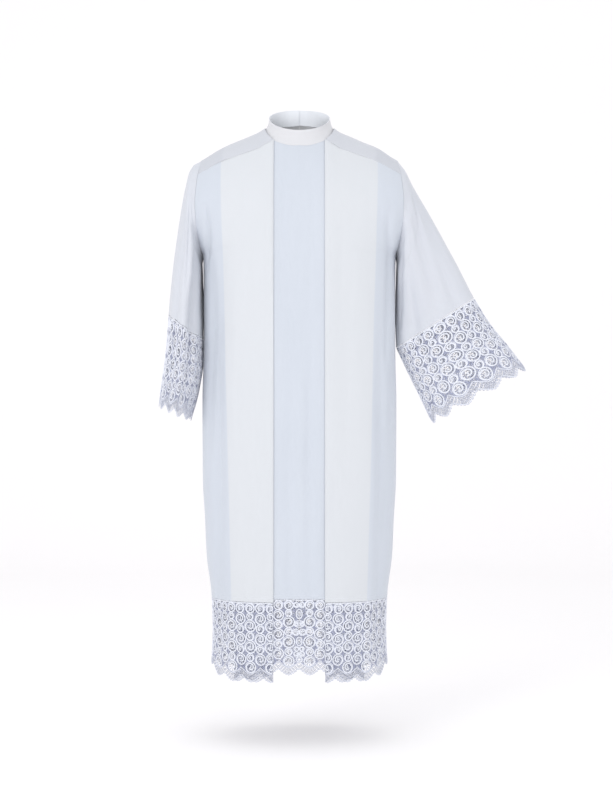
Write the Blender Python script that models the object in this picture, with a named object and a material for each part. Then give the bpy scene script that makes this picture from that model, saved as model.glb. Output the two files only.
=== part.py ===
"""An alb: a long white robe with wide sleeves and lace at the hem and the cuffs.

It keeps the hollow form it has when worn, with one sleeve hanging and the other held out. Metres, +Z up.
The front faces -Y, and the origin is midway between the shoulders, at the root of the neck.
"""

import math
from collections import namedtuple

import bpy
import numpy as np

# Driving sizes
WALL = 0.0010  # one layer of cloth
LAYER = 0.0016  # from one layer of a pleat to the next, middle to middle
SEAM_GAP = 0.0006  # left between two pieces that are sewn edge to edge
HEM_SEAM_Z = -1.125  # where the lace joins the cloth
HEM_Z = -1.312  # the lowest tips of the lace
SEAM_RISE = 0.008  # the plain centre is drawn up between the pleats: its seam by this much
EDGE_RISE = 0.018  # and the edge of its lace by this much
SIDE_RISE = 0.030  # the lace's edge is drawn up at the side seams too
LOBE_PITCH = 0.050  # one scallop of the lace edge
LOBE_DEPTH = 0.012
PLEAT_EDGE_X = 0.061  # the pleat's visible fold, beside the plain centre
PLEAT_DEPTH_X = 0.186  # the fold hidden under the pleat, at the height of the origin
PLEAT_NARROWING = 0.0265  # how fast the pleat narrows towards the hem
PLEAT_FALL = 0.028  # beyond the hidden fold, the top layer settles onto the form over this width
NECK_HALF_WIDTH = 0.0805
NECK_DROP_FRONT = 0.082  # from the ridge down to the neck seam
NECK_DROP_BACK = 0.013
NECK_ROUNDNESS = 1.2  # of the neck seam's dip at the front: 2 is round, and less is more pointed
YOKE_DROP_FRONT = (0.0491, 0.032)  # from the ridge down to the yoke seam: near the neck, and at the armhole
YOKE_DROP_BACK = (0.094, 0.075)
YOKE_CLEAR = 0.0018  # the yoke starts this far outside the neck seam
YOKE_GAP = 0.0016  # from the yoke seam to the yoke's own edge
COLLAR_CLEAR = 0.0022  # the collar starts this far above it
COLLAR_HALF_WIDTH = 0.073
COLLAR_HALF_DEPTH = 0.0665
COLLAR_MIDDLE = (-0.0085, 0.0225)  # y and z of the middle of its rim
COLLAR_TILT = 0.0345  # how far its rim rises at the back and dips at the front
COLLAR_SIDE_RISE = 0.004
COLLAR_LEAN = 2.4  # how soon it leans in from the seam to its rim's outline: 1 is evenly
COLLAR_ENDS = (-179.0, 188.0)  # in degrees round from the front: the ends lap
COLLAR_LAP = (150.0, 170.0)  # over these the outer end moves out onto the inner one
COLLAR_LAP_STEP = 1.5 * LAYER  # by this much
SHOULDER_TIP_X = 0.2355
SHOULDER_TIP_Z = -0.076
ARMPIT_Z = -0.310
SLEEVE_CLEAR = 0.0025  # the sleeve starts this far outside the armhole
BUTTON_RADIUS = 0.0065
BUTTON_THICKNESS = 0.0025
BUTTON_CLEAR = 0.0016

# The shoulder's ridge: height and setback along it, from the middle of the neck outwards. Drop is how far
# the front of the shoulder falls before it is upright.
Ridge = namedtuple("Ridge", "x z y drop")
RIDGE = (
    Ridge(0.000, 0.034, 0.035, 0.220),
    Ridge(0.040, 0.026, 0.030, 0.212),
    Ridge(0.080, 0.004, 0.020, 0.195),
    Ridge(0.092, -0.005, 0.018, 0.190),
    Ridge(0.117, -0.017, 0.014, 0.178),
    Ridge(0.185, -0.048, 0.004, 0.145),
    Ridge(0.2355, -0.076, 0.000, 0.120),
    Ridge(0.260, -0.092, 0.000, 0.120),
)

# The body, level by level. edge is how much of the depth is left at the side edge: some at the armhole,
# none at a side seam.
Level = namedtuple("Level", "z half_width front back edge")
BODY = (
    Level(0.040, 0.2300, 0.122, 0.112, 0.74),
    Level(-0.076, 0.2355, 0.124, 0.116, 0.72),
    Level(-0.130, 0.2430, 0.126, 0.121, 0.70),
    Level(-0.190, 0.2470, 0.128, 0.125, 0.63),
    Level(-0.250, 0.2430, 0.130, 0.127, 0.48),
    Level(-0.285, 0.2370, 0.131, 0.127, 0.31),
    Level(ARMPIT_Z, 0.2315, 0.131, 0.127, 0.00),
    Level(-0.400, 0.2305, 0.130, 0.125, 0.00),
    Level(-0.500, 0.2306, 0.129, 0.124, 0.00),
    Level(-0.560, 0.2312, 0.129, 0.125, 0.00),
    Level(-0.650, 0.2335, 0.130, 0.126, 0.00),
    Level(-0.840, 0.2325, 0.132, 0.129, 0.00),
    Level(-0.940, 0.2270, 0.134, 0.131, 0.00),
    Level(-1.020, 0.2235, 0.135, 0.133, 0.00),
    Level(HEM_SEAM_Z, 0.2110, 0.137, 0.135, 0.00),
    Level(-1.200, 0.2085, 0.138, 0.136, 0.00),
    Level(-1.320, 0.2140, 0.141, 0.139, 0.00),
)
SQUARENESS = 2.4  # of the body's sections: 2 is an ellipse
SHOULDER_ROUND = 1.8

# Each sleeve, ring by ring: its upper line, its underarm line, its half depth from front to back, and how far
# the front and back of the ring stand out beyond the line between the two.
Ring = namedtuple("Ring", "top_x top_z under_x under_z half_depth belly")
HANGING_SLEEVE = (
    Ring(0.2520, -0.0850, 0.2342, -0.3230, 0.075, 0.0115),
    Ring(0.2650, -0.1040, 0.2342, -0.3360, 0.078, 0.0080),
    Ring(0.2740, -0.1400, 0.2340, -0.3600, 0.083, 0.0045),
    Ring(0.2835, -0.1980, 0.2336, -0.3880, 0.089, 0.0020),
    Ring(0.2930, -0.2620, 0.2332, -0.4180, 0.094, 0.0000),
    Ring(0.3035, -0.3350, 0.2328, -0.4500, 0.098, 0.0000),
    Ring(0.3110, -0.4000, 0.2325, -0.4800, 0.100, 0.0000),
    Ring(0.3155, -0.4480, 0.2325, -0.5050, 0.101, 0.0000),
)
HANGING_CUFF = (
    Ring(0.3157, -0.4490, 0.2325, -0.5060, 0.101, 0.0000),
    Ring(0.3235, -0.5350, 0.2330, -0.5620, 0.106, 0.0000),
    Ring(0.3310, -0.6020, 0.2430, -0.6250, 0.112, 0.0000),
    Ring(0.3385, -0.6680, 0.2640, -0.7020, 0.118, 0.0000),
)
RAISED_SLEEVE = (
    Ring(0.2490, -0.0960, 0.2342, -0.3220, 0.075, 0.0125),
    Ring(0.2695, -0.1310, 0.2342, -0.3420, 0.074, 0.0080),
    Ring(0.2930, -0.1710, 0.2340, -0.3680, 0.070, 0.0035),
    Ring(0.3157, -0.2110, 0.2338, -0.3930, 0.065, 0.0000),
    Ring(0.3618, -0.2960, 0.2338, -0.4480, 0.056, 0.0000),
    Ring(0.3930, -0.3550, 0.2340, -0.4900, 0.050, 0.0000),
    Ring(0.4200, -0.4060, 0.2345, -0.5250, 0.046, 0.0000),
)
RAISED_CUFF = (
    Ring(0.4206, -0.4070, 0.2349, -0.5258, 0.046, 0.0000),
    Ring(0.4600, -0.4680, 0.2600, -0.5830, 0.047, 0.0000),
    Ring(0.5030, -0.5190, 0.2880, -0.6400, 0.049, 0.0000),
    Ring(0.5490, -0.5800, 0.3230, -0.7090, 0.051, 0.0000),
)
SLEEVE_SIDES = 20
CUFF_SIDES = 36
HANGING_FLATNESS = 1.0  # of a sleeve's rings: 1 is an ellipse, and less is squarer
RAISED_FLATNESS = 0.92

# How finely each piece is divided
PANEL_STRIPS = {"centre": 2, "band": 2, "side": 5}
LACE_STRIPS = {"centre": 4, "band": 6, "side": 12}
UPPER_ROWS, LOWER_ROWS, LACE_ROWS = 5, 8, 2
YOKE_ACROSS, YOKE_ROWS = 6, 9
COLLAR_COLUMNS, COLLAR_ROWS = 32, 3
BUTTON_SIDES = 24
EDGE_TRIES = 12  # rounds it takes to find where a column starts

Finish = namedtuple("Finish", "colour roughness")
CLOTH = Finish((0.80, 0.84, 0.90), 0.78)
LACE = Finish((0.72, 0.75, 0.83), 0.72)
BUTTON = Finish((0.88, 0.88, 0.90), 0.35)


def smooth(rows, key, value, at):
    """A value read off a table by a smooth curve through its rows that never overshoots them."""
    rows = sorted(rows, key=lambda row: getattr(row, key))
    x = np.array([getattr(row, key) for row in rows])
    y = np.array([getattr(row, value) for row in rows])
    at = min(max(at, x[0]), x[-1])
    step, slope = np.diff(x), np.diff(y) / np.diff(x)
    tangent = np.zeros(len(x))
    tangent[0], tangent[-1] = slope[0], slope[-1]
    for k in range(1, len(x) - 1):
        if slope[k - 1] * slope[k] > 0:
            tangent[k] = 2 * slope[k - 1] * slope[k] / (slope[k - 1] + slope[k])
    k = min(int(np.searchsorted(x, at, side="right")) - 1, len(step) - 1)
    t = (at - x[k]) / step[k]
    rise = y[k] * (1 + 2 * t) * (1 - t) ** 2 + y[k + 1] * t * t * (3 - 2 * t)
    return float(rise + step[k] * t * (1 - t) * (tangent[k] * (1 - t) - tangent[k + 1] * t))


def ease(t):
    t = min(max(t, 0.0), 1.0)
    return t * t * (3 - 2 * t)


def mix(a, b, t):
    return a + (b - a) * t


# The robe's form


def ridge(x, value):
    return smooth(RIDGE, "x", value, abs(x))


def body(z, value):
    return smooth(BODY, "z", value, z)


def form(side, x, z):
    """The point of the robe's form at a width and height. side is -1 on the front and 1 on the back."""
    width, edge = body(z, "half_width"), body(z, "edge")
    across = min(abs(x) / width, 1.0)
    shape = max(1 - (1 - edge**SQUARENESS) * across**SQUARENESS, 0.0) ** (1 / SQUARENESS)
    fall = min(max(ridge(x, "z") - z, 0.0) / ridge(x, "drop"), 1.0)
    roundness = max(1 - (1 - fall) ** SHOULDER_ROUND, 0.0) ** (1 / SHOULDER_ROUND)
    setback = ridge(x, "y")
    depth = body(z, "front") + setback if side < 0 else body(z, "back") - setback
    return np.array([x, setback + side * depth * shape * roundness, z])


def form_normal(side, x, z):
    """The form's outward direction, by small differences taken towards the middle."""
    small = 1e-4
    inward = -small if x > 0 else small
    across = (form(side, x + inward, z) - form(side, x, z)) * np.sign(inward)
    down = form(side, x, z - small) - form(side, x, z)
    normal = np.cross(across, down) * side
    return normal / np.linalg.norm(normal)


def pleat_depth_x(z):
    """Where the fold hidden under the pleat lies: the pleats narrow towards the hem."""
    return PLEAT_DEPTH_X + PLEAT_NARROWING * z


def pleat_lift(x, z):
    """How far the pleat's top layer stands off the form."""
    return 2 * LAYER * (1 - ease((abs(x) - pleat_depth_x(z)) / PLEAT_FALL))


def neck_drop(angle):
    """How far the neck seam lies below the ridge, angle degrees round from the front."""
    turn = math.cos(math.radians(angle))
    return NECK_DROP_FRONT * turn**NECK_ROUNDNESS if turn > 0 else NECK_DROP_BACK * turn * turn


def neck_point(angle, out=0.0):
    """A point of the neck seam, out metres outside it."""
    x = (NECK_HALF_WIDTH + out) * math.sin(math.radians(angle))
    side = -1 if math.cos(math.radians(angle)) > 0 else 1
    slip = out * abs(math.cos(math.radians(angle)))
    return form(side, x, ridge(x, "z") - neck_drop(angle) - slip)


def front_top(x):
    """The height of the front's upper edge: the neck seam in the middle, the yoke seam at its sides."""
    if abs(x) < PLEAT_EDGE_X:
        angle = math.degrees(math.asin(abs(x) / NECK_HALF_WIDTH))
        return ridge(x, "z") - neck_drop(angle)
    return ridge(x, "z") - yoke_drop(-1, x)


def yoke_drop(side, x):
    """How far below the ridge the yoke ends."""
    near, far = YOKE_DROP_FRONT if side < 0 else YOKE_DROP_BACK
    start = PLEAT_EDGE_X if side < 0 else 0.0
    return mix(near, far, max((abs(x) - start) / (SHOULDER_TIP_X - start), 0.0))


# A panel's columns, from the middle to one side seam: across the centre, under the pleat, back over it and
# out again to its fold, and then along the top layer to the side.
Run = namedtuple("Run", "zone start end layer pieces")


def half_columns(pieces):
    """(zone, share of the zone, layer) for each column. pieces gives the strips of each zone."""
    runs = (
        Run("centre", 0, 1, 0, pieces["centre"]),
        Run("band", 0, 1, 0, pieces["band"]),
        Run("band", 1, 0, 1, pieces["band"]),
        Run("band", 0, 1, 2, pieces["band"] + 1),
        Run("side", 0, 1, 2, pieces["side"]),
    )
    found = []
    for run in runs:
        if run.zone == "band" and run.layer > 0:
            found.append(("turn", run.start, run.layer - 0.5))
        first = 1 if found and found[-1][0] != "turn" else 0
        for k in range(first, run.pieces + 1):
            share = mix(run.start, run.end, k / run.pieces)
            if run.zone == "side":
                share = math.sin(share * math.pi / 2)
            found.append((run.zone, share, run.layer))
    return found


def column_x(column, z):
    zone, share, _ = column
    hidden = pleat_depth_x(z)
    if zone == "centre":
        return share * PLEAT_EDGE_X
    if zone == "side":
        return mix(hidden, body(z, "half_width"), share)
    bulge = LAYER / 2 * (1 if share else -1) if zone == "turn" else 0.0
    return mix(PLEAT_EDGE_X, hidden, share) + bulge


def column_point(side, sign, column, z):
    x = column_x(column, z)
    top = pleat_lift(x, z)
    lift = top * column[2] / 2
    point = form(side, x, z) + form_normal(side, x, z) * lift
    if column[0] == "side" and column[1] == 1 and z <= ARMPIT_Z:
        point[1] = side * SEAM_GAP / 2
    point[0] *= sign
    return point


def both_halves(half):
    """The columns of a whole panel, left seam to right seam, each with the sign of its side."""
    return [(-1, column) for column in reversed(half)] + [(1, column) for column in half[1:]]


def upper_edge(side, column):
    """The height at which a column starts: found by trying, because its width depends on its height."""
    z = SHOULDER_TIP_Z
    for _ in range(EDGE_TRIES):
        x = column_x(column, z)
        top = front_top(x) if side < 0 else ridge(x, "z") - yoke_drop(1, x)
        z = top - SEAM_GAP
    return z


def drawn_up(side, column):
    """1 where the front's hem is drawn up, in the middle of the plain centre, falling to 0 at the pleats."""
    zone, share, _ = column
    return min(2 * (1 - share), 1.0) if side < 0 and zone == "centre" else 0.0


def at_side(column):
    """1 at the side seam, falling to 0 at the pleat."""
    zone, share, _ = column
    return share**3 if zone == "side" else 0.0


def panel_heights(top, rise):
    """A column's heights: close together above the armpit, where the armhole bends, and even below it."""
    upper = [mix(top, ARMPIT_Z, math.sin(math.pi / 2 * k / UPPER_ROWS)) for k in range(UPPER_ROWS)]
    low = HEM_SEAM_Z + SEAM_GAP / 2 + SEAM_RISE * rise
    return upper + [mix(ARMPIT_Z, low, k / LOWER_ROWS) for k in range(LOWER_ROWS + 1)]


def panel_grid(side):
    columns = []
    for sign, column in both_halves(half_columns(PANEL_STRIPS)):
        heights = panel_heights(upper_edge(side, column), drawn_up(side, column))
        columns.append([column_point(side, sign, column, z) for z in heights])
    return np.array(columns).swapaxes(0, 1)


def hem_lace_grid(side):
    """The lace below a panel: the same pleated columns, cut to scallops along its own length."""
    columns = both_halves(half_columns(LACE_STRIPS))
    rises = [drawn_up(side, column) for _, column in columns]
    tops = [HEM_SEAM_Z - SEAM_GAP / 2 + SEAM_RISE * rise for rise in rises]
    seam = np.array([column_point(side, *column, HEM_SEAM_Z) for column in columns])
    along = np.concatenate([[0], np.cumsum(np.linalg.norm(np.diff(seam, axis=0), axis=1))])
    turns = along / along[-1] * 2 * round(along[-1] / LOBE_PITCH / 2)
    tips = [HEM_Z + EDGE_RISE * rise + SIDE_RISE * at_side(column) for rise, (_, column) in zip(rises, columns)]
    ends = [tip + scallop(turn) for tip, turn in zip(tips, turns)]
    grid = []
    for k in range(LACE_ROWS + 1):
        heights = [mix(top, end, k / LACE_ROWS) for top, end in zip(tops, ends)]
        grid.append([column_point(side, sign, column, z) for (sign, column), z in zip(columns, heights)])
    return np.array(grid)


def scallop(turns):
    """How far the lace edge rises above its lowest tips, turns scallops along it."""
    return LOBE_DEPTH * (1 - abs(math.sin(math.pi * turns)))


def yoke_grid(sign):
    """One yoke: its rows run from the neck seam and the centre back out to the armhole."""
    inner, outer = [], []
    start = math.degrees(math.asin(PLEAT_EDGE_X / NECK_HALF_WIDTH))
    neck_rows = YOKE_ROWS - 2
    for k in range(neck_rows + 1):
        angle = mix(start, 180, k / neck_rows)
        point = neck_point(angle, YOKE_CLEAR)
        inner.append(signed_drop(point[0], point[2], angle < 90))
    centre_low = -math.sqrt(yoke_drop(1, 0.0))
    inner.append((SEAM_GAP / 2, mix(inner[-1][1], centre_low, 0.5)))
    inner.append((SEAM_GAP / 2, centre_low))
    inner[neck_rows] = (SEAM_GAP / 2, inner[neck_rows][1])
    front = math.sqrt(yoke_drop(-1, SHOULDER_TIP_X))
    back = -math.sqrt(yoke_drop(1, SHOULDER_TIP_X))
    for k in range(YOKE_ROWS + 1):
        outer.append((SHOULDER_TIP_X, mix(front, back, k / YOKE_ROWS)))
    grid = []
    for (x0, s0), (x1, s1) in zip(inner, outer):
        row = []
        for k in range(YOKE_ACROSS + 1):
            share = k / YOKE_ACROSS
            x, s = mix(x0, x1, share), mix(s0, s1, share)
            if (x0, s0) == inner[0]:
                s = math.sqrt(max(yoke_drop(-1, x) - YOKE_GAP, 0.0))
            if (x0, s0) == inner[-1]:
                s = -math.sqrt(yoke_drop(1, x) - YOKE_GAP)
            side = -1 if s > 0 else 1
            z = ridge(x, "z") - s * s
            if k == YOKE_ACROSS:
                x = armhole_x(x, z)
                z = ridge(x, "z") - s * s
            near_middle = ease(2 * x / PLEAT_EDGE_X - 1)
            point = form(side, x, z) + yoke_normal(x, s) * pleat_lift(x, z) * near_middle
            point[0] *= sign
            row.append(point)
        grid.append(row)
    return np.array(grid)


def armhole_x(x, z):
    return max(x, body(z, "half_width"))


def signed_drop(x, z, on_front):
    drop = math.sqrt(max(ridge(x, "z") - z, 0.0))
    return x, drop if on_front else -drop


def yoke_normal(x, s):
    """The outward direction on the shoulder, where the form turns over the ridge."""
    small = 2e-3

    def at(x, s):
        return form(-1 if s > 0 else 1, x, ridge(x, "z") - s * s)

    across = at(x + small, s) - at(x, s)
    round_it = at(x, s - small) - at(x, s + small)
    normal = np.cross(across, round_it)
    return normal / np.linalg.norm(normal)


def armhole_point(turn, clear):
    """The armhole at a turn of 0 at the shoulder's tip and half a turn at the armpit, front first."""
    z = mix(SHOULDER_TIP_Z, ARMPIT_Z, (1 - math.cos(2 * math.pi * turn)) / 2)
    side = -1 if turn < 0.5 else 1
    x = body(z, "half_width")
    point = form(side, x, min(z, ridge(x, "z")))
    point[0] += clear
    return point


def ring_point(ring, turn, flatness):
    """A point of a sleeve's ring. It starts on the upper line and goes by the front."""
    top = np.array([ring.top_x, 0.0, ring.top_z])
    under = np.array([ring.under_x, 0.0, ring.under_z])
    c, s = math.cos(2 * math.pi * turn), math.sin(2 * math.pi * turn)
    along = math.copysign(abs(c) ** flatness, c)
    point = (top + under) / 2 + (top - under) / 2 * along
    point[0] += ring.belly * abs(s)
    point[1] -= ring.half_depth * math.copysign(abs(s) ** flatness, s)
    return point


def sleeve_grid(sign, rings, flatness):
    turns = [k / SLEEVE_SIDES for k in range(SLEEVE_SIDES)]
    grid = [[armhole_point(turn, SLEEVE_CLEAR) for turn in turns]]
    grid += [[ring_point(ring, turn, flatness) for turn in turns] for ring in rings]
    return np.array(grid) * np.array([sign, 1, 1])


def cuff_grid(sign, rings, flatness):
    """The lace of one sleeve, its last ring cut to scallops."""
    turns = [k / CUFF_SIDES for k in range(CUFF_SIDES)]
    grid = np.array([[ring_point(ring, turn, flatness) for turn in turns] for ring in rings])
    end = grid[-1]
    girth = np.linalg.norm(end - np.roll(end, 1, axis=0), axis=1)
    lobes = round(girth.sum() / LOBE_PITCH)
    for k, turn in enumerate(np.cumsum(girth) / girth.sum()):
        back = end[k] - grid[-2][k]
        grid[-1][k] = end[k] - back / np.linalg.norm(back) * scallop(turn * lobes)
    return grid * np.array([sign, 1, 1])


def collar_grid():
    """The stand collar: a band from the neck seam to its rim, whose ends lap at the centre back."""
    grid = []
    middle_y, middle_z = COLLAR_MIDDLE
    lap_start, lap_end = COLLAR_LAP
    for row in range(COLLAR_ROWS + 1):
        up = row / COLLAR_ROWS
        line = []
        for k in range(COLLAR_COLUMNS + 1):
            angle = mix(*COLLAR_ENDS, k / COLLAR_COLUMNS)
            facing = (angle + 180) % 360 - 180
            base = neck_point(abs(facing))
            base[0] *= math.copysign(1, facing)
            base[2] += COLLAR_CLEAR
            turn = math.radians(angle)
            rim = np.array(
                [
                    COLLAR_HALF_WIDTH * math.sin(turn),
                    middle_y - COLLAR_HALF_DEPTH * math.cos(turn),
                    middle_z - COLLAR_TILT * math.cos(turn) + COLLAR_SIDE_RISE * math.sin(turn) ** 2,
                ]
            )
            lean = 1 - (1 - up) ** COLLAR_LEAN
            point = mix(base, rim, np.array([lean, lean, up]))
            lap = ease((angle - lap_start) / (lap_end - lap_start)) * COLLAR_LAP_STEP
            outward = np.array([math.sin(turn), -math.cos(turn), 0])
            line.append(point + outward * lap)
        grid.append(line)
    return np.array(grid)


# Cloth made solid


def unit(v):
    return v / np.maximum(np.linalg.norm(v, axis=-1, keepdims=True), 1e-12)


def directions(grid, axis, closed):
    """The direction along one axis of a grid at each point, halving the angle at a corner."""
    if closed:
        ahead = unit(np.roll(grid, -1, axis=axis) - grid)
        behind = np.roll(ahead, 1, axis=axis)
        return unit(ahead + behind)
    steps = unit(np.diff(grid, axis=axis))
    first, last = np.take(steps, [0], axis=axis), np.take(steps, [-1], axis=axis)
    return unit(np.concatenate([first, steps], axis=axis) + np.concatenate([steps, last], axis=axis))


def cloth_wall(grid, closed=False):
    """(points, faces) of a wall of cloth whose middle is the grid. closed joins the last column to the first.

    Both sides of the wall are cut into triangles along the same diagonals, so that they stay parallel.
    """
    normal = unit(np.cross(directions(grid, 1, closed), directions(grid, 0, False)))
    rows, columns = grid.shape[:2]
    faces_out = (grid - normal * WALL / 2).reshape(-1, 3)
    faces_in = (grid + normal * WALL / 2).reshape(-1, 3)
    points = np.concatenate([faces_out, faces_in])
    inner = rows * columns
    wraps = columns if closed else columns - 1
    faces = []
    for i in range(rows - 1):
        for j in range(wraps):
            a, b = i * columns + j, i * columns + (j + 1) % columns
            c, d = b + columns, a + columns
            for p, q, r in ((a, b, c), (a, c, d)):
                faces += [(p, q, r), (inner + r, inner + q, inner + p)]
    for j in range(wraps):
        a, b = j, (j + 1) % columns
        faces.append((b, a, inner + a, inner + b))
        a, b = a + (rows - 1) * columns, b + (rows - 1) * columns
        faces.append((a, b, inner + b, inner + a))
    if not closed:
        for i in range(rows - 1):
            a, d = i * columns, (i + 1) * columns
            faces.append((a, d, inner + d, inner + a))
            a, d = a + columns - 1, d + columns - 1
            faces.append((d, a, inner + a, inner + d))
    return points, faces


def material(name, finish):
    made = bpy.data.materials.new(name)
    made.use_nodes = True
    shader = made.node_tree.nodes["Principled BSDF"]
    shader.inputs["Base Color"].default_value = (*finish.colour, 1.0)
    shader.inputs["Roughness"].default_value = finish.roughness
    shader.inputs["Metallic"].default_value = 0.0
    return made


def add_piece(name, points, faces, finish, parent):
    mesh = bpy.data.meshes.new(name)
    mesh.from_pydata([tuple(point) for point in points], [], faces)
    mesh.update()
    piece = bpy.data.objects.new(name, mesh)
    bpy.context.scene.collection.objects.link(piece)
    mesh.materials.append(material(name + "_finish", finish))
    mesh.shade_smooth()
    mesh.set_sharp_from_angle(angle=math.radians(40))
    piece.parent = parent
    return piece


def turned_outwards(points, faces):
    """The faces as they are, or all turned round if they enclose a negative volume."""
    volume = 0.0
    for first, *rest in faces:
        for b, c in zip(rest, rest[1:]):
            volume += np.dot(points[first], np.cross(points[b], points[c]))
    return faces if volume > 0 else [tuple(reversed(face)) for face in faces]


def add_cloth(name, grid, finish, parent, closed=False):
    points, faces = cloth_wall(grid, closed)
    return add_piece(name, points, turned_outwards(points, faces), finish, parent)


# The button's rings from its back to its dished face, as shares of its radius and its thickness
Step = namedtuple("Step", "radius height")
BUTTON_PROFILE = (Step(0.9, 0.0), Step(1.0, 0.3), Step(1.0, 0.75), Step(0.86, 1.0), Step(0.7, 0.72))


def add_button(parent, collar):
    """The collar's button: a round, dished disc on the lap at the centre back."""
    rim, base = collar[-1, -1], collar[0, -1]
    middle = (rim + base) / 2
    up = unit(rim - base)
    outward = np.array([0.0, 1.0, 0.0])
    outward = unit(outward - up * np.dot(outward, up))
    sideways = np.cross(up, outward)
    middle = middle - sideways * np.dot(middle, sideways)
    seat = middle + outward * (WALL / 2 + BUTTON_CLEAR)
    sides = BUTTON_SIDES
    points, faces = [], []
    for ring in BUTTON_PROFILE:
        for k in range(sides):
            turn = 2 * math.pi * k / sides
            spoke = up * math.cos(turn) + sideways * math.sin(turn)
            height = outward * ring.height * BUTTON_THICKNESS
            points.append(seat + spoke * ring.radius * BUTTON_RADIUS + height)
    rings = len(BUTTON_PROFILE)
    for i in range(rings - 1):
        for k in range(sides):
            a, b = i * sides + k, i * sides + (k + 1) % sides
            faces.append((a, b, b + sides, a + sides))
    points.append(seat)
    points.append(seat + outward * BUTTON_PROFILE[-1].height * BUTTON_THICKNESS)
    bottom, top = len(points) - 2, len(points) - 1
    for k in range(sides):
        a, b = k, (k + 1) % sides
        faces.append((b, a, bottom))
        a, b = a + (rings - 1) * sides, b + (rings - 1) * sides
        faces.append((a, b, top))
    return add_piece("collar_button", points, turned_outwards(points, faces), BUTTON, parent)


def build():
    for old in list(bpy.data.objects):
        bpy.data.objects.remove(old, do_unlink=True)
    robe = bpy.data.objects.new("robe", None)
    bpy.context.scene.collection.objects.link(robe)

    for name, side in (("front", -1), ("back", 1)):
        add_cloth(name, panel_grid(side), CLOTH, robe)
        add_cloth("hem_lace_" + name, hem_lace_grid(side), LACE, robe)
    for name, sign in (("left", 1), ("right", -1)):
        add_cloth("yoke_" + name, yoke_grid(sign), CLOTH, robe)
    raised, hanging = RAISED_FLATNESS, HANGING_FLATNESS
    add_cloth("sleeve_left", sleeve_grid(1, RAISED_SLEEVE, raised), CLOTH, robe, closed=True)
    add_cloth("cuff_lace_left", cuff_grid(1, RAISED_CUFF, raised), LACE, robe, closed=True)
    add_cloth("sleeve_right", sleeve_grid(-1, HANGING_SLEEVE, hanging), CLOTH, robe, closed=True)
    add_cloth("cuff_lace_right", cuff_grid(-1, HANGING_CUFF, hanging), LACE, robe, closed=True)
    collar = collar_grid()
    add_cloth("collar", collar, CLOTH, robe)
    add_button(robe, collar)


build()
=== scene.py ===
"""The looks of an alb: worn white cloth with deep pleats and soft folds, and open lace at hem and cuffs.

Metres, +Z up, the front faces -Y. Each cloth is a thin shell on the form of its solid in the frame. Each lace
is drawn flat as cords and bars, repeated along its strip, and laid onto the robe by Geometry Nodes.
"""

import math
from collections import namedtuple

import bpy
import numpy as np
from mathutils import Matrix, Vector, noise
from mathutils.geometry import delaunay_2d_cdt


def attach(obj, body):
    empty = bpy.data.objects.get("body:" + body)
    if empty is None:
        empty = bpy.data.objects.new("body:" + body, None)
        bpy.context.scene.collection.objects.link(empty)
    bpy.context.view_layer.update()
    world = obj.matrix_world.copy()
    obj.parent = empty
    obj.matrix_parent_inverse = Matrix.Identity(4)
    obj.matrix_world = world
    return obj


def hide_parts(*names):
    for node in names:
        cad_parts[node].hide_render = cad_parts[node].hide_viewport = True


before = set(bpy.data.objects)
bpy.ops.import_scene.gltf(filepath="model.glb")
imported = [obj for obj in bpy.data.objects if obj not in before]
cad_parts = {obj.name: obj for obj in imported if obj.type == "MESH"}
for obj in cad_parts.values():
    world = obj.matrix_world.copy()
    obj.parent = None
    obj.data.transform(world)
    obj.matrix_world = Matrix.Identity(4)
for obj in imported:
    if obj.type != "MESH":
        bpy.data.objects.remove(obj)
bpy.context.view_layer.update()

MM = 0.001

# Sizes that the solids share with the looks
LAYER = 0.0016  # from one layer of a pleat to the next
SEAM_GAP = 0.0006
HEM_SEAM_Z = -1.125
HEM_Z = -1.312
SEAM_RISE = 0.008  # the plain centre of the front is drawn up between the pleats: its seam by this much
EDGE_RISE = 0.018  # and the edge of its lace by this much
SIDE_RISE = 0.030  # the lace's edge is drawn up at the side seams too
LOBE_PITCH = 0.050
PLEAT_EDGE_X = 0.061  # the pleat's visible fold, beside the plain centre
PLEAT_DEPTH_X = 0.186  # the fold hidden under the pleat, at the height of the origin
PLEAT_NARROWING = 0.0265  # how fast the pleat narrows towards the hem
NECK_HALF_WIDTH = 0.0805
NECK_DROP_FRONT = 0.082  # from the ridge down to the neck seam
NECK_DROP_BACK = 0.013
NECK_ROUNDNESS = 1.2
YOKE_DROP_FRONT = (0.0491, 0.032)  # from the ridge down to the yoke seam: near the neck, at the armhole
YOKE_DROP_BACK = (0.094, 0.075)
COLLAR_HALF_WIDTH = 0.073
COLLAR_HALF_DEPTH = 0.0665
COLLAR_MIDDLE = (-0.0085, 0.0225)  # y and z of the middle of its rim
COLLAR_TILT = 0.0345  # how far its rim rises at the back and dips at the front
COLLAR_SIDE_RISE = 0.004
COLLAR_LEAN = 2.4
COLLAR_ENDS = (-179.0, 188.0)  # in degrees round from the front: the ends lap
COLLAR_LAP = (150, 170)  # over these the outer end moves out onto the inner one
COLLAR_LAP_LAYERS = 1.5  # by this many layers
SHOULDER_TIP_X = 0.2355
SHOULDER_TIP_Z = -0.076
ARMPIT_Z = -0.310
SQUARENESS = 2.4
SHOULDER_ROUND = 1.8
RAISED_FLATNESS = 0.92  # how square a raised sleeve's rings are: 1 is an ellipse
BUTTON_RADIUS = 0.0065
BUTTON_THICKNESS = 0.0025

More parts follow.
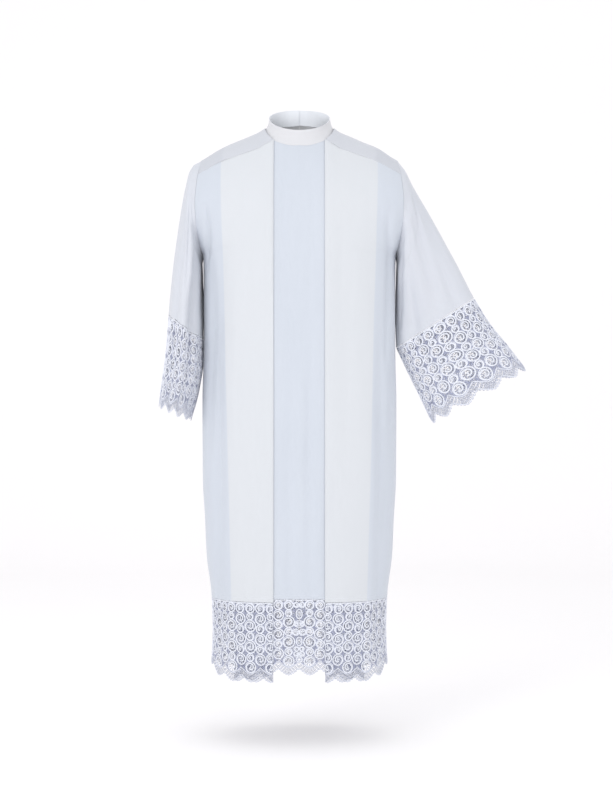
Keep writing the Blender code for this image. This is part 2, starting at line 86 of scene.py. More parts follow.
# Sizes of the looks alone
CLOTH_WALL = 0.0008
COLLAR_WALL = 0.0014
HEM_TURN = 0.009  # the depth of the turned edge that the lace is sewn to
TURNED_THICKNESS = 1.9  # of that edge, in thicknesses of cloth
YOKE_LAP = 0.004  # how far the yoke's edges lie over the panels
YOKE_LIFT = 1.2  # how far the yoke lies above the form, in thicknesses of cloth
YOKE_MEETING_X = 0.00005  # how near the middle of the back the two yokes come
# The pleat's paler tone is painted: it stands for three thicknesses blocking the shade of the hollow inside.
YOKE_PALER = 0.1  # how much of the pleat's paler tone shows in the yoke over it
PALER_BLUR = 0.004  # the width over which that tone comes
COLLAR_SEAT = 0.0012  # how far outside and below the neck seam the collar starts
PLEAT_FALL = 0.042  # the width in which the top layer comes back down beyond the pleat
BUTTON_SEAT = 0.0021  # how far the button's place stands off the collar's form
HOLE_REACH = 0.0018  # from the button's middle to each of its holes
HOLE_RADIUS = 0.00065
STITCH_PITCH = 0.0034
STITCH_LENGTH = 0.0023
STITCH_LIFT = 0.00012  # how far the middle of a stitch lies above the cloth
EDGE_TRIES = 12  # rounds it takes to find where a column starts

Ridge = namedtuple("Ridge", "x z y drop")
RIDGE = (
    Ridge(0.000, 0.034, 0.035, 0.220),
    Ridge(0.040, 0.026, 0.030, 0.212),
    Ridge(0.080, 0.004, 0.020, 0.195),
    Ridge(0.092, -0.005, 0.018, 0.190),
    Ridge(0.117, -0.017, 0.014, 0.178),
    Ridge(0.185, -0.048, 0.004, 0.145),
    Ridge(0.2355, -0.076, 0.000, 0.120),
    Ridge(0.260, -0.092, 0.000, 0.120),
)
Level = namedtuple("Level", "z half_width front back edge")
BODY = (
    Level(0.040, 0.2300, 0.122, 0.112, 0.74),
    Level(-0.076, 0.2355, 0.124, 0.116, 0.72),
    Level(-0.130, 0.2430, 0.126, 0.121, 0.70),
    Level(-0.190, 0.2470, 0.128, 0.125, 0.63),
    Level(-0.250, 0.2430, 0.130, 0.127, 0.48),
    Level(-0.285, 0.2370, 0.131, 0.127, 0.31),
    Level(ARMPIT_Z, 0.2315, 0.131, 0.127, 0.00),
    Level(-0.400, 0.2305, 0.130, 0.125, 0.00),
    Level(-0.500, 0.2306, 0.129, 0.124, 0.00),
    Level(-0.560, 0.2312, 0.129, 0.125, 0.00),
    Level(-0.650, 0.2335, 0.130, 0.126, 0.00),
    Level(-0.840, 0.2325, 0.132, 0.129, 0.00),
    Level(-0.940, 0.2270, 0.134, 0.131, 0.00),
    Level(-1.020, 0.2235, 0.135, 0.133, 0.00),
    Level(HEM_SEAM_Z, 0.2110, 0.137, 0.135, 0.00),
    Level(-1.200, 0.2085, 0.138, 0.136, 0.00),
    Level(-1.320, 0.2140, 0.141, 0.139, 0.00),
)
Ring = namedtuple("Ring", "top_x top_z under_x under_z half_depth belly")
HANGING_SLEEVE = (
    Ring(0.2520, -0.0850, 0.2342, -0.3230, 0.075, 0.0115),
    Ring(0.2650, -0.1040, 0.2342, -0.3360, 0.078, 0.0080),
    Ring(0.2740, -0.1400, 0.2340, -0.3600, 0.083, 0.0045),
    Ring(0.2835, -0.1980, 0.2336, -0.3880, 0.089, 0.0020),
    Ring(0.2930, -0.2620, 0.2332, -0.4180, 0.094, 0.0000),
    Ring(0.3035, -0.3350, 0.2328, -0.4500, 0.098, 0.0000),
    Ring(0.3110, -0.4000, 0.2325, -0.4800, 0.100, 0.0000),
    Ring(0.3155, -0.4480, 0.2325, -0.5050, 0.101, 0.0000),
)
HANGING_CUFF = (
    Ring(0.3157, -0.4490, 0.2325, -0.5060, 0.101, 0.0000),
    Ring(0.3235, -0.5350, 0.2330, -0.5620, 0.106, 0.0000),
    Ring(0.3310, -0.6020, 0.2430, -0.6250, 0.112, 0.0000),
    Ring(0.3385, -0.6680, 0.2640, -0.7020, 0.118, 0.0000),
)
RAISED_SLEEVE = (
    Ring(0.2490, -0.0960, 0.2342, -0.3220, 0.075, 0.0125),
    Ring(0.2695, -0.1310, 0.2342, -0.3420, 0.074, 0.0080),
    Ring(0.2930, -0.1710, 0.2340, -0.3680, 0.070, 0.0035),
    Ring(0.3157, -0.2110, 0.2338, -0.3930, 0.065, 0.0000),
    Ring(0.3618, -0.2960, 0.2338, -0.4480, 0.056, 0.0000),
    Ring(0.3930, -0.3550, 0.2340, -0.4900, 0.050, 0.0000),
    Ring(0.4200, -0.4060, 0.2345, -0.5250, 0.046, 0.0000),
)
RAISED_CUFF = (
    Ring(0.4206, -0.4070, 0.2349, -0.5258, 0.046, 0.0000),
    Ring(0.4600, -0.4680, 0.2600, -0.5830, 0.047, 0.0000),
    Ring(0.5030, -0.5190, 0.2880, -0.6400, 0.049, 0.0000),
    Ring(0.5490, -0.5800, 0.3230, -0.7090, 0.051, 0.0000),
)

# The folds of the body, each a soft trough from one end to the other. A depth below 0 makes a ridge.
Fold = namedtuple("Fold", "x0 z0 x1 z1 width depth")
FRONT_FOLDS = (
    Fold(-0.2190, -0.190, -0.2180, -0.345, 0.0050, 0.0060),
    Fold(-0.2060, -0.300, -0.2090, -0.800, 0.0085, 0.0050),
    Fold(-0.1880, -0.260, -0.1790, -1.060, 0.0120, 0.0038),
    Fold(-0.1960, -0.620, -0.1800, -1.300, 0.0100, 0.0042),
    Fold(-0.0400, -0.130, -0.0330, -0.620, 0.0110, 0.0016),
    Fold(-0.0180, -0.560, -0.0290, -1.290, 0.0120, 0.0042),
    Fold(0.0240, -0.500, 0.0310, -1.290, 0.0105, 0.0040),
    Fold(0.0050, -0.280, 0.0030, -0.900, 0.0150, -0.0018),
    Fold(0.1100, -0.150, 0.0980, -0.720, 0.0160, 0.0016),
    Fold(-0.1300, -0.180, -0.1180, -0.830, 0.0170, 0.0015),
    Fold(0.2080, -0.210, 0.2120, -0.570, 0.0075, 0.0062),
    Fold(0.1900, -0.330, 0.1860, -0.980, 0.0120, 0.0044),
    Fold(0.1980, -0.640, 0.1790, -1.300, 0.0100, 0.0040),
    Fold(0.2150, -0.560, 0.2060, -1.080, 0.0080, 0.0035),
)
BACK_FOLDS = (
    Fold(-0.2150, -0.230, -0.2110, -0.620, 0.0080, 0.0060),
    Fold(-0.1850, -0.280, -0.1780, -1.120, 0.0120, 0.0042),
    Fold(-0.1250, -0.170, -0.1120, -0.760, 0.0170, 0.0016),
    Fold(-0.0260, -0.240, -0.0330, -1.280, 0.0120, 0.0040),
    Fold(0.0020, -0.420, 0.0040, -1.240, 0.0140, -0.0024),
    Fold(0.0310, -0.330, 0.0270, -1.290, 0.0110, 0.0038),
    Fold(0.1160, -0.220, 0.1040, -0.900, 0.0170, 0.0017),
    Fold(0.1900, -0.360, 0.1800, -1.270, 0.0110, 0.0045),
    Fold(0.2130, -0.220, 0.2100, -0.700, 0.0080, 0.0055),
)

# The folds of a sleeve. down counts the table's rings from the armhole, turn goes round by the front from the
# upper line, and the cuff goes on counting where the sleeve ends.
SleeveFold = namedtuple("SleeveFold", "down0 turn0 down1 turn1 width depth")
HANGING_FOLDS = (
    SleeveFold(1.4, 0.345, 9.6, 0.330, 0.032, 0.0135),
    SleeveFold(2.0, 0.165, 10.0, 0.185, 0.022, 0.0050),
    SleeveFold(0.4, 0.235, 6.2, 0.250, 0.028, 0.0045),
    SleeveFold(4.4, 0.255, 10.0, 0.262, 0.020, -0.0040),
    SleeveFold(1.0, 0.700, 9.4, 0.690, 0.030, 0.0130),
    SleeveFold(2.6, 0.840, 10.0, 0.820, 0.024, 0.0050),
    SleeveFold(5.2, 0.080, 10.0, 0.085, 0.018, 0.0030),
)
RAISED_FOLDS = (
    SleeveFold(0.3, 0.130, 4.8, 0.215, 0.020, 0.0048),
    SleeveFold(1.2, 0.185, 7.8, 0.280, 0.020, 0.0056),
    SleeveFold(2.4, 0.300, 8.8, 0.350, 0.024, 0.0060),
    SleeveFold(3.2, 0.150, 9.0, 0.165, 0.020, 0.0042),
    SleeveFold(0.5, 0.380, 5.0, 0.420, 0.024, 0.0050),
    SleeveFold(4.6, 0.235, 9.0, 0.240, 0.018, -0.0036),
    SleeveFold(0.8, 0.830, 6.0, 0.760, 0.024, 0.0052),
    SleeveFold(2.6, 0.680, 9.0, 0.650, 0.026, 0.0060),
)


# Numbers


def between(x, y, at):
    """The height at places along a smooth curve through points x, y that never overshoots them."""
    slope = np.diff(y) / np.diff(x)
    product, total = slope[:-1] * slope[1:], slope[:-1] + slope[1:]
    inner = np.where(product > 0, 2 * product / np.where(total == 0, 1, total), 0.0)
    tangent = np.concatenate([slope[:1], inner, slope[-1:]])
    at = np.clip(at, x[0], x[-1])
    k = np.clip(np.searchsorted(x, at, side="right") - 1, 0, len(x) - 2)
    step = np.diff(x)[k]
    t = (at - x[k]) / step
    rise = y[k] * (1 + 2 * t) * (1 - t) ** 2 + y[k + 1] * t * t * (3 - 2 * t)
    return rise + step * t * (1 - t) * (tangent[k] * (1 - t) - tangent[k + 1] * t)


def read(rows, key, value, at):
    """A value read off a table between its rows."""
    rows = sorted(rows, key=lambda row: getattr(row, key))
    x, y = (np.array([getattr(row, name) for row in rows]) for name in (key, value))
    return between(x, y, at)


def ease(t):
    t = np.clip(t, 0.0, 1.0)
    return t * t * (3 - 2 * t)


def mix(a, b, t):
    return a + (b - a) * t


def unit(v):
    return v / np.maximum(np.linalg.norm(v, axis=-1, keepdims=True), 1e-12)


# The robe's form, with its folds


def ridge(x, value):
    return read(RIDGE, "x", value, np.abs(x))


def body(z, value):
    return read(BODY, "z", value, z)


def form(side, x, z):
    """Points of the robe's form at widths and heights. side is -1 on the front and 1 on the back."""
    width, edge = body(z, "half_width"), body(z, "edge")
    across = np.minimum(np.abs(x) / width, 1.0)
    shape = np.maximum(1 - (1 - edge**SQUARENESS) * across**SQUARENESS, 0.0) ** (1 / SQUARENESS)
    fall = np.clip((ridge(x, "z") - z) / ridge(x, "drop"), 0.0, 1.0)
    roundness = np.maximum(1 - (1 - fall) ** SHOULDER_ROUND, 0.0) ** (1 / SHOULDER_ROUND)
    setback = ridge(x, "y")
    depth = np.where(side < 0, body(z, "front") + setback, body(z, "back") - setback)
    return np.stack([x, setback + side * depth * shape * roundness, z + 0 * x], axis=-1)


def form_normal(side, x, z):
    """The form's outward direction, by small differences taken towards the middle."""
    small = 1e-4
    inward = np.where(x > 0, -small, small)
    across = (form(side, x + inward, z) - form(side, x, z)) * np.sign(inward)[..., None]
    down = form(side, x, z - small) - form(side, x, z)
    return unit(np.cross(across, down) * side)


def trough(along, across, width):
    """The depth of a soft fold, 0 to 1: along runs from 0 at one end to 1 at the other."""
    ends = np.sin(np.pi * np.clip(along, 0.0, 1.0)) ** 0.7
    return ends * np.exp(-((across / width) ** 2))


def soft_noise(x, y, z):
    flat = np.broadcast_arrays(x, y, z)
    values = [noise.noise(Vector(point)) for point in zip(*(a.ravel() for a in flat))]
    return np.array(values).reshape(flat[0].shape)


def folds_in(side, x, z):
    """How far the folds draw the cloth in: not at all at the side seams, the armholes and the shoulder."""
    total = np.zeros(np.shape(x))
    for fold in FRONT_FOLDS if side < 0 else BACK_FOLDS:
        along = (fold.z0 - z) / (fold.z0 - fold.z1)
        middle = mix(fold.x0, fold.x1, along) + 0.004 * np.sin(along * 5 + fold.x0 * 90)
        total += fold.depth * trough(along, x - middle, fold.width * (1 + 0.25 * np.sin(along * 4)))
    rumple = 0.0024 * soft_noise(x * 21, 5.0 * side, z * 3.1)
    total += rumple + 0.0009 * soft_noise(x * 58, 9.0 * side, z * 6.0)
    from_side = ease((body(z, "half_width") - np.abs(x) - 0.001) / 0.013)
    from_shoulder = ease((ridge(x, "z") - z - 0.055) / 0.09)
    return total * from_side * from_shoulder


def pleat_depth_x(z):
    """Where the fold hidden under the pleat lies."""
    return PLEAT_DEPTH_X + PLEAT_NARROWING * z


def pleat_lift(x, z):
    """How far the pleat's top layer stands off the form."""
    return 2 * LAYER * (1 - ease((np.abs(x) - pleat_depth_x(z)) / PLEAT_FALL))


def neck_drop(angle):
    """How far the neck seam lies below the ridge, angle degrees round from the front."""
    turn = np.cos(np.radians(angle))
    front = NECK_DROP_FRONT * np.maximum(turn, 0.0) ** NECK_ROUNDNESS
    return np.where(turn > 0, front, NECK_DROP_BACK * turn * turn)


def neck_point(angle, out=0.0):
    """Points of the neck seam, out metres outside it."""
    turn = np.cos(np.radians(angle))
    x = (NECK_HALF_WIDTH + out) * np.sin(np.radians(angle))
    side = np.where(turn > 0, -1, 1)
    z = ridge(x, "z") - neck_drop(angle) - out * np.abs(turn)
    return np.where((side < 0)[..., None], form(-1, x, z), form(1, x, z))


def yoke_drop(side, x):
    """How far below the ridge the yoke ends."""
    near, far = YOKE_DROP_FRONT if side < 0 else YOKE_DROP_BACK
    start = PLEAT_EDGE_X if side < 0 else 0.0
    return mix(near, far, np.maximum((np.abs(x) - start) / (SHOULDER_TIP_X - start), 0.0))


def front_top(x):
    """The height of the front's upper edge: the neck seam in the middle, the yoke seam at its sides."""
    angle = np.degrees(np.arcsin(np.minimum(np.abs(x) / NECK_HALF_WIDTH, 1.0)))
    at_neck = ridge(x, "z") - neck_drop(angle)
    return np.where(np.abs(x) < PLEAT_EDGE_X, at_neck, ridge(x, "z") - yoke_drop(-1, x))


# Panels: columns run from the middle across the plain centre, under the pleat, back over it, out again to its
# fold, and along the top layer to the side seam.

Column = namedtuple("Column", "zone share layer")
Run = namedtuple("Run", "zone start end layer strips")
STRIPS = {"centre": 18, "band": 11, "side": 30}


def half_columns():
    runs = (
        Run("centre", 0, 1, 0, STRIPS["centre"]),
        Run("band", 0, 1, 0, STRIPS["band"]),
        Run("band", 1, 0, 1, STRIPS["band"]),
        Run("band", 0, 1, 2, STRIPS["band"] + 5),
        Run("side", 0, 1, 2, STRIPS["side"]),
    )
    found = []
    for run in runs:
        if run.zone == "band" and run.layer > 0:
            found.append(Column("turn", run.start, run.layer - 0.5))
        first = 1 if found and found[-1].zone != "turn" else 0
        for k in range(first, run.strips + 1):
            share = mix(run.start, run.end, k / run.strips)
            if run.zone == "side":
                share = math.sin(share * math.pi / 2)
            found.append(Column(run.zone, share, run.layer))
    return found


def column_x(columns, z):
    """The distance of each column from the middle, at a row of heights z for each row of the panel."""
    hidden = pleat_depth_x(z)
    found = np.empty(z.shape)
    for j, column in enumerate(columns):
        if column.zone == "centre":
            found[:, j] = column.share * PLEAT_EDGE_X
        elif column.zone == "side":
            found[:, j] = mix(hidden[:, j], body(z[:, j], "half_width"), column.share)
        else:
            bulge = LAYER / 2 * (1 if column.share else -1) if column.zone == "turn" else 0.0
            found[:, j] = mix(PLEAT_EDGE_X, hidden[:, j], column.share) + bulge
    return found


def half_panel(side, sign, columns, z):
    """One half of a panel, rows by columns, with the folds of its own side of the robe."""
    x = column_x(columns, z)
    layer = np.array([column.layer for column in columns])
    lift = pleat_lift(x, z) * layer / 2 - folds_in(side, x * sign, z)
    points = form(side, x, z) + form_normal(side, x, z) * lift[..., None]
    if columns[-1].zone == "side":
        points[:, -1, 1] = np.where(z[:, -1] <= ARMPIT_Z, side * SEAM_GAP / 2, points[:, -1, 1])
    return points * np.array([sign, 1, 1])


def whole_panel(side, columns, z):
    left = half_panel(side, -1, columns, z)[:, ::-1]
    return np.concatenate([left, half_panel(side, 1, columns, z)[:, 1:]], axis=1)


def upper_edge(side, columns):
    """The height at which each column starts, found by trying, because its width depends on its height."""
    z = np.full((1, len(columns)), SHOULDER_TIP_Z)
    for _ in range(EDGE_TRIES):
        x = column_x(columns, z)
        z = (front_top(x) if side < 0 else ridge(x, "z") - yoke_drop(1, x)) - SEAM_GAP
    return z[0]


def drawn_up(side, columns):
    """1 for the columns whose hem is drawn up, on the front's plain centre, fading to 0 under the pleat."""
    rise = {"centre": lambda share: 1.0, "band": lambda share: 1.0 - share}
    raised = [column.zone in rise and column.layer == 0 and side < 0 for column in columns]
    return np.array([rise[c.zone](c.share) if up else 0.0 for c, up in zip(columns, raised)])


def at_side(columns):
    """1 at the side seam, falling to 0 at the pleat."""
    return np.array([column.share**3 if column.zone == "side" else 0.0 for column in columns])


def panel_grid(side, columns, upper_rows=46, lower_rows=74):
    top = upper_edge(side, columns)
    shares = np.sin(math.pi / 2 * np.arange(upper_rows) / upper_rows)
    upper = top + (ARMPIT_Z - top) * shares[:, None]
    low = HEM_SEAM_Z + SEAM_GAP / 2 + SEAM_RISE * drawn_up(side, columns)
    lower = np.linspace(ARMPIT_Z, low + HEM_TURN, lower_rows)
    return whole_panel(side, columns, np.concatenate([upper, lower, [low + HEM_TURN * 0.85, low]]))


def layers_of(columns, heights):
    """1 where the pleat lies in three thicknesses of cloth, along each row of a panel: the cloth is painted
    paler there.
    """
    half = np.array([column.zone in ("band", "turn") for column in columns], float)
    row = np.concatenate([half[::-1], half[1:]])
    return np.tile(row, (heights, 1))


# Yokes, sleeves and collar


def yoke_grid(sign, across=26, rows=44):
    """One yoke: its rows run from the neck seam and the centre back out to the armhole."""
    start = math.degrees(math.asin(PLEAT_EDGE_X / NECK_HALF_WIDTH))
    neck_share = 7 / 9
    neck_rows = round(rows * neck_share)
    angles = np.linspace(start, 180, neck_rows + 1)
    rim = neck_point(angles, SEAM_GAP)
    drop = np.sqrt(np.maximum(ridge(rim[:, 0], "z") - rim[:, 2], 0.0)) * np.where(angles < 90, 1, -1)
    low = -math.sqrt(yoke_drop(1, 0.0))
    back_rows = rows - neck_rows
    inner_x = np.concatenate([rim[:, 0], np.full(back_rows, YOKE_MEETING_X)])
    inner_x[neck_rows] = YOKE_MEETING_X
    inner_s = np.concatenate([drop, np.linspace(drop[-1], low, back_rows + 1)[1:]])
    outer_s = np.linspace(
        math.sqrt(yoke_drop(-1, SHOULDER_TIP_X)), -math.sqrt(yoke_drop(1, SHOULDER_TIP_X)), rows + 1
    )
    share = np.linspace(0, 1, across + 1)
    x = inner_x[:, None] + (SHOULDER_TIP_X - inner_x[:, None]) * share
    s = inner_s[:, None] + (outer_s - inner_s)[:, None] * share
    s[0] = np.sqrt(yoke_drop(-1, x[0]) + YOKE_LAP)
    s[-1] = -np.sqrt(yoke_drop(1, x[-1]) + YOKE_LAP)
    z = ridge(x, "z") - s * s
    x[:, -1] = np.maximum(x[:, -1], body(z[:, -1], "half_width"))
    z[:, -1] = ridge(x[:, -1], "z") - s[:, -1] ** 2
    lift = pleat_lift(x, z) * ease(2 * x / PLEAT_EDGE_X - 1)
    lift = lift - 0.0010 * soft_noise(x * 30, s * 9, 3.0 + sign) + CLOTH_WALL * YOKE_LIFT
    points = on_shoulder(x, s) + shoulder_normal(x, s) * lift[..., None]
    return points * np.array([sign, 1, 1])


def on_shoulder(x, s):
    """A point of the shoulder. s is the root of its drop below the ridge, above 0 on the front."""
    z = ridge(x, "z") - s * s
    return np.where((s > 0)[..., None], form(-1, x, z), form(1, x, z))


def shoulder_normal(x, s):
    small = 2e-3
    across = on_shoulder(x + small, s) - on_shoulder(x, s)
    round_it = on_shoulder(x, s - small) - on_shoulder(x, s + small)
    return unit(np.cross(across, round_it))


def armhole(turn):
    """The armhole at a turn of 0 at the shoulder's tip and half a turn at the armpit, front first."""
    turn = np.mod(turn, 1.0)
    z = mix(SHOULDER_TIP_Z, ARMPIT_Z, (1 - np.cos(2 * np.pi * turn)) / 2)
    x = body(z, "half_width")
    z = np.minimum(z, ridge(x, "z"))
    found = np.where((turn < 0.5)[..., None], form(-1, x, z), form(1, x, z))
    return found + np.array([SEAM_GAP, 0, 0])


def on_ring(rings, down, turn, flatness):
    """Points of a sleeve, down the table's rings, read smoothly between them."""
    count = np.arange(len(rings))
    at = {name: between(count, np.array(values), down) for name, values in zip(Ring._fields, zip(*rings))}
    c, s = np.cos(2 * np.pi * turn), np.sin(2 * np.pi * turn)
    along = np.copysign(np.abs(c) ** flatness, c)
    x = (at["top_x"] + at["under_x"]) / 2 + (at["top_x"] - at["under_x"]) / 2 * along
    z = (at["top_z"] + at["under_z"]) / 2 + (at["top_z"] - at["under_z"]) / 2 * along
    x = x + at["belly"] * np.abs(s)
    y = -at["half_depth"] * np.copysign(np.abs(s) ** flatness, s)
    return np.stack([x, y, z], axis=-1)


def tube_normal(points):
    """The outward direction on rows of a tube that closes on itself."""
    around = np.roll(points, -1, axis=1) - np.roll(points, 1, axis=1)
    along = np.gradient(points, axis=0)
    return unit(np.cross(around, along))


def sleeve_folds(folds, down, turn):
    total = np.zeros(np.broadcast(down, turn).shape)
    for fold in folds:
        along = (down - fold.down0) / (fold.down1 - fold.down0)
        middle = mix(fold.turn0, fold.turn1, along) + 0.008 * np.sin(along * 5 + fold.turn0 * 40)
        across = np.mod(turn - middle + 0.5, 1.0) - 0.5
        total += fold.depth * trough(along, across, fold.width)
    c, s = np.cos(2 * np.pi * turn), np.sin(2 * np.pi * turn)
    rumple = 0.0030 * soft_noise(c * 2.3, s * 2.3, down * 0.33)
    total += rumple + 0.0011 * soft_noise(c * 6, s * 6, down * 0.6)
    return total * ease(down / 1.2)


Sleeve = namedtuple("Sleeve", "sign rings cuff flatness folds")
SLEEVES = {
    "left": Sleeve(1, RAISED_SLEEVE, RAISED_CUFF, RAISED_FLATNESS, RAISED_FOLDS),
    "right": Sleeve(-1, HANGING_SLEEVE, HANGING_CUFF, 1.0, HANGING_FOLDS),
}
SLEEVE_SIDES = 112


def sleeve_grid(sleeve, rows=64):
    """The cloth of a sleeve, from the armhole down to the lace."""
    last = len(sleeve.rings) - 1
    down = np.linspace(0, last, rows)[:, None] * np.ones(SLEEVE_SIDES)
    turn = np.arange(SLEEVE_SIDES) / SLEEVE_SIDES + 0 * down
    points = on_ring(sleeve.rings, down, turn, sleeve.flatness)
    points -= tube_normal(points) * sleeve_folds(sleeve.folds, down, turn)[..., None]
    edge = armhole(turn[0])
    first = [mix(edge, points[0], share) for share in (0.0, 0.3, 0.65)]
    return np.concatenate([first, points]) * np.array([sleeve.sign, 1, 1])


def cuff_surface(sleeve, rows=26, sides=176):
    """The surface that a cuff's lace lies on, and its flat places: u once round, v from seam to edge."""
    overlap = sides // 8
    steps = np.arange(-overlap, sides + overlap + 1)
    turn = steps / sides + np.zeros((rows, 1))
    down = np.linspace(0, len(sleeve.cuff) - 1, rows)[:, None] + 0 * turn
    points = on_ring(sleeve.cuff, down, turn, sleeve.flatness)
    outward = unit(np.cross(np.gradient(points, axis=1), np.gradient(points, axis=0)))
    drawn_in = sleeve_folds(sleeve.folds, down + len(sleeve.rings) - 1, turn)
    points = points - outward * drawn_in[..., None]
    outward = unit(np.cross(np.gradient(points, axis=1), np.gradient(points, axis=0)))
    flat = np.stack([turn, np.linspace(0, 1, rows)[:, None] + 0 * turn], axis=-1)
    flip = np.array([sleeve.sign, 1, 1])
    return points * flip, outward * flip, flat


def collar_grid(columns=150, rows=14):
    """The stand collar: a band from the neck seam to its rim, whose ends lap at the centre back."""
    angle = np.linspace(*COLLAR_ENDS, columns + 1)
    facing = np.mod(angle + 180, 360) - 180
    base = neck_point(np.abs(facing))
    base[:, 0] *= np.where(facing < 0, -1, 1)
    turn = np.radians(angle)
    outward = np.stack([np.sin(turn), -np.cos(turn), 0 * turn], axis=-1)
    base += COLLAR_SEAT * outward
    base[:, 2] -= COLLAR_SEAT
    middle_y, middle_z = COLLAR_MIDDLE
    rim = np.stack(
        [
            COLLAR_HALF_WIDTH * np.sin(turn),
            middle_y - COLLAR_HALF_DEPTH * np.cos(turn),
            middle_z - COLLAR_TILT * np.cos(turn) + COLLAR_SIDE_RISE * np.sin(turn) ** 2,
        ],
        axis=-1,
    )
    up = np.linspace(0, 1, rows + 1)[:, None, None]
    lean = 1 - (1 - up) ** COLLAR_LEAN
    points = base + (rim - base) * np.concatenate([lean, lean, up], axis=-1)
    lap_start, lap_end = COLLAR_LAP
    lap = ease((angle - lap_start) / (lap_end - lap_start)) * COLLAR_LAP_LAYERS * LAYER
    wave = 0.0008 * np.sin(turn * 5 + 0.6) * np.sin(np.pi * up[..., 0])
    return points + outward * (lap + wave)[..., None]


# Meshes


def directions(grid, axis, closed):
    """The direction along one axis of a grid at each point, halving the angle at a corner."""
    if closed:
        ahead = unit(np.roll(grid, -1, axis=axis) - grid)
        return unit(ahead + np.roll(ahead, 1, axis=axis))
    steps = unit(np.diff(grid, axis=axis))
    first, last = np.take(steps, [0], axis=axis), np.take(steps, [-1], axis=axis)
    return unit(np.concatenate([first, steps], axis=axis) + np.concatenate([steps, last], axis=axis))


def wrapped(grid):
    """A grid that closes on itself, with its first column again at its end."""
    return np.concatenate([grid, grid[:, :1]], axis=1)


def quads(index):
    """The faces between the numbered points of a grid."""
    corners = [index[:-1, :-1], index[:-1, 1:], index[1:, 1:], index[1:, :-1]]
    return np.stack(corners, axis=-1).reshape(-1, 4)


def shell(grid, wall, closed=False, turned_rows=0):
    """(points, faces) of cloth whose middle is the grid. Its last rows can be turned up twice as thick."""
    normal = unit(np.cross(directions(grid, 1, closed), directions(grid, 0, False)))
    rows, columns = grid.shape[:2]
    half = np.full((rows, 1, 1), wall / 2)
    if turned_rows:
        half[-turned_rows:] *= TURNED_THICKNESS
    points = np.concatenate([(grid - normal * half).reshape(-1, 3), (grid + normal * half).reshape(-1, 3)])
    index = np.arange(rows * columns).reshape(rows, columns)
    ring = wrapped(index) if closed else index
    outer, inner = quads(ring), rows * columns
    lines = [ring[0, ::-1], ring[-1]] + ([] if closed else [index[:, 0], index[::-1, -1]])
    edges = [np.stack([a[:-1], a[1:], a[1:] + inner, a[:-1] + inner], axis=-1) for a in lines]
    faces = np.concatenate([outer, outer[:, ::-1] + inner, *edges])
    return points, outwards(points, faces)


def outwards(points, faces):
    """The faces, all turned round if they enclose a negative volume."""
    corners = points[faces]
    fans = [np.einsum("ij,ij->i", corners[:, 0], np.cross(corners[:, k], corners[:, k + 1])) for k in (1, 2)]
    return faces if sum(fan.sum() for fan in fans) > 0 else faces[:, ::-1]


def new_object(name, points, faces, material=None):
    mesh = bpy.data.meshes.new(name)
    faces = faces.tolist() if isinstance(faces, np.ndarray) else faces
    mesh.from_pydata(np.asarray(points).tolist(), [], faces)
    mesh.shade_smooth()
    piece = bpy.data.objects.new(name, mesh)
    bpy.context.scene.collection.objects.link(piece)
    if material:
        mesh.materials.append(material)
    return piece


def lengths(grid, axis):
    """The length of each line of a grid that runs along an axis."""
    return np.linalg.norm(np.diff(grid, axis=axis), axis=-1).sum(axis=axis)


def flat_size(grid):
    """The longest lengths of a cloth, across and down."""
    return float(lengths(grid, 1).max()), float(lengths(grid, 0).max())


def along_and_down(grid):
    """The flat place of each point of a cloth in metres: along its weft and down its warp."""
    along = np.linalg.norm(np.diff(grid, axis=1), axis=-1)
    along = np.concatenate([np.zeros((len(grid), 1)), np.cumsum(along, axis=1)], axis=1)
    middle = along[len(along) // 2]
    down = np.linalg.norm(np.diff(grid, axis=0), axis=-1)
    down = np.concatenate([np.zeros((1, grid.shape[1])), np.cumsum(down, axis=0)])
    return np.stack([middle + 0 * down, down], axis=-1)


def add_cloth(name, grid, material, wall=CLOTH_WALL, closed=False, turned_rows=0, layers=None, painted_light_inside=0):
    """A cloth piece with its flat places as a UV map, and as an attribute how much of its painted pale tone
    each point takes.

    The last argument is 1 or -1, for a cloth whose inside is painted in the pale tone, painted light against
    the shade inside the neck: it says which half of the shell that is.
    """
    points, faces = shell(grid, wall, closed, turned_rows)
    piece = new_object(name, points, faces, material)
    mesh = piece.data
    flat = np.tile(along_and_down(grid).reshape(-1, 2), (2, 1))
    corner = np.empty(len(mesh.loops), int)
    mesh.loops.foreach_get("vertex_index", corner)
    mesh.uv_layers.new(name="flat").data.foreach_set("uv", flat[corner].ravel())
    depth = np.zeros(len(points)) if layers is None else np.tile(np.ravel(layers), 2)
    # Painted light: the inside half takes the pale tone in full, against the shade inside the neck.
    if painted_light_inside:
        inside = slice(0, len(points) // 2) if painted_light_inside > 0 else slice(len(points) // 2, None)
        depth[inside] = 1.0
    mesh.attributes.new("layers", "FLOAT", "POINT").data.foreach_set("value", depth)
    mesh.set_sharp_from_angle(angle=math.radians(50))
    return piece


def area_of(grid, closed=False):
    grid = wrapped(grid) if closed else grid
    a, b = grid[1:, 1:] - grid[:-1, :-1], grid[1:, :-1] - grid[:-1, 1:]
    return float(np.linalg.norm(np.cross(a, b), axis=-1).sum() / 2)


# Lace, drawn flat in millimetres: u along the strip and v down from the seam to the tips

PITCH = LOBE_PITCH / MM
DEPTH = (HEM_SEAM_Z - HEM_Z) / MM
LOBE = 16.0  # from the notches down to the tips
LOBE_POINT = 1.45  # 1 makes the lobes straight-sided, and 2 rounds them

Scroll = namedtuple("Scroll", "v radius turns")
LOBE_COLUMN = (
    Scroll(14.5, 10.6, 1.55),
    Scroll(33.5, 8.0, 1.35),
    Scroll(55.5, 13.6, 1.7),
    Scroll(79.5, 9.8, 1.5),
    Scroll(104.5, 14.4, 1.75),
    Scroll(129.0, 9.2, 1.45),
    Scroll(151.7, 13.0, 1.65),
)
NOTCH_COLUMN = (
    Scroll(14.5, 10.6, 1.55),
    Scroll(38.5, 12.8, 1.65),
    Scroll(62.0, 9.8, 1.5),
    Scroll(86.0, 13.4, 1.7),
    Scroll(110.0, 9.6, 1.5),
    Scroll(133.5, 12.8, 1.6),
)
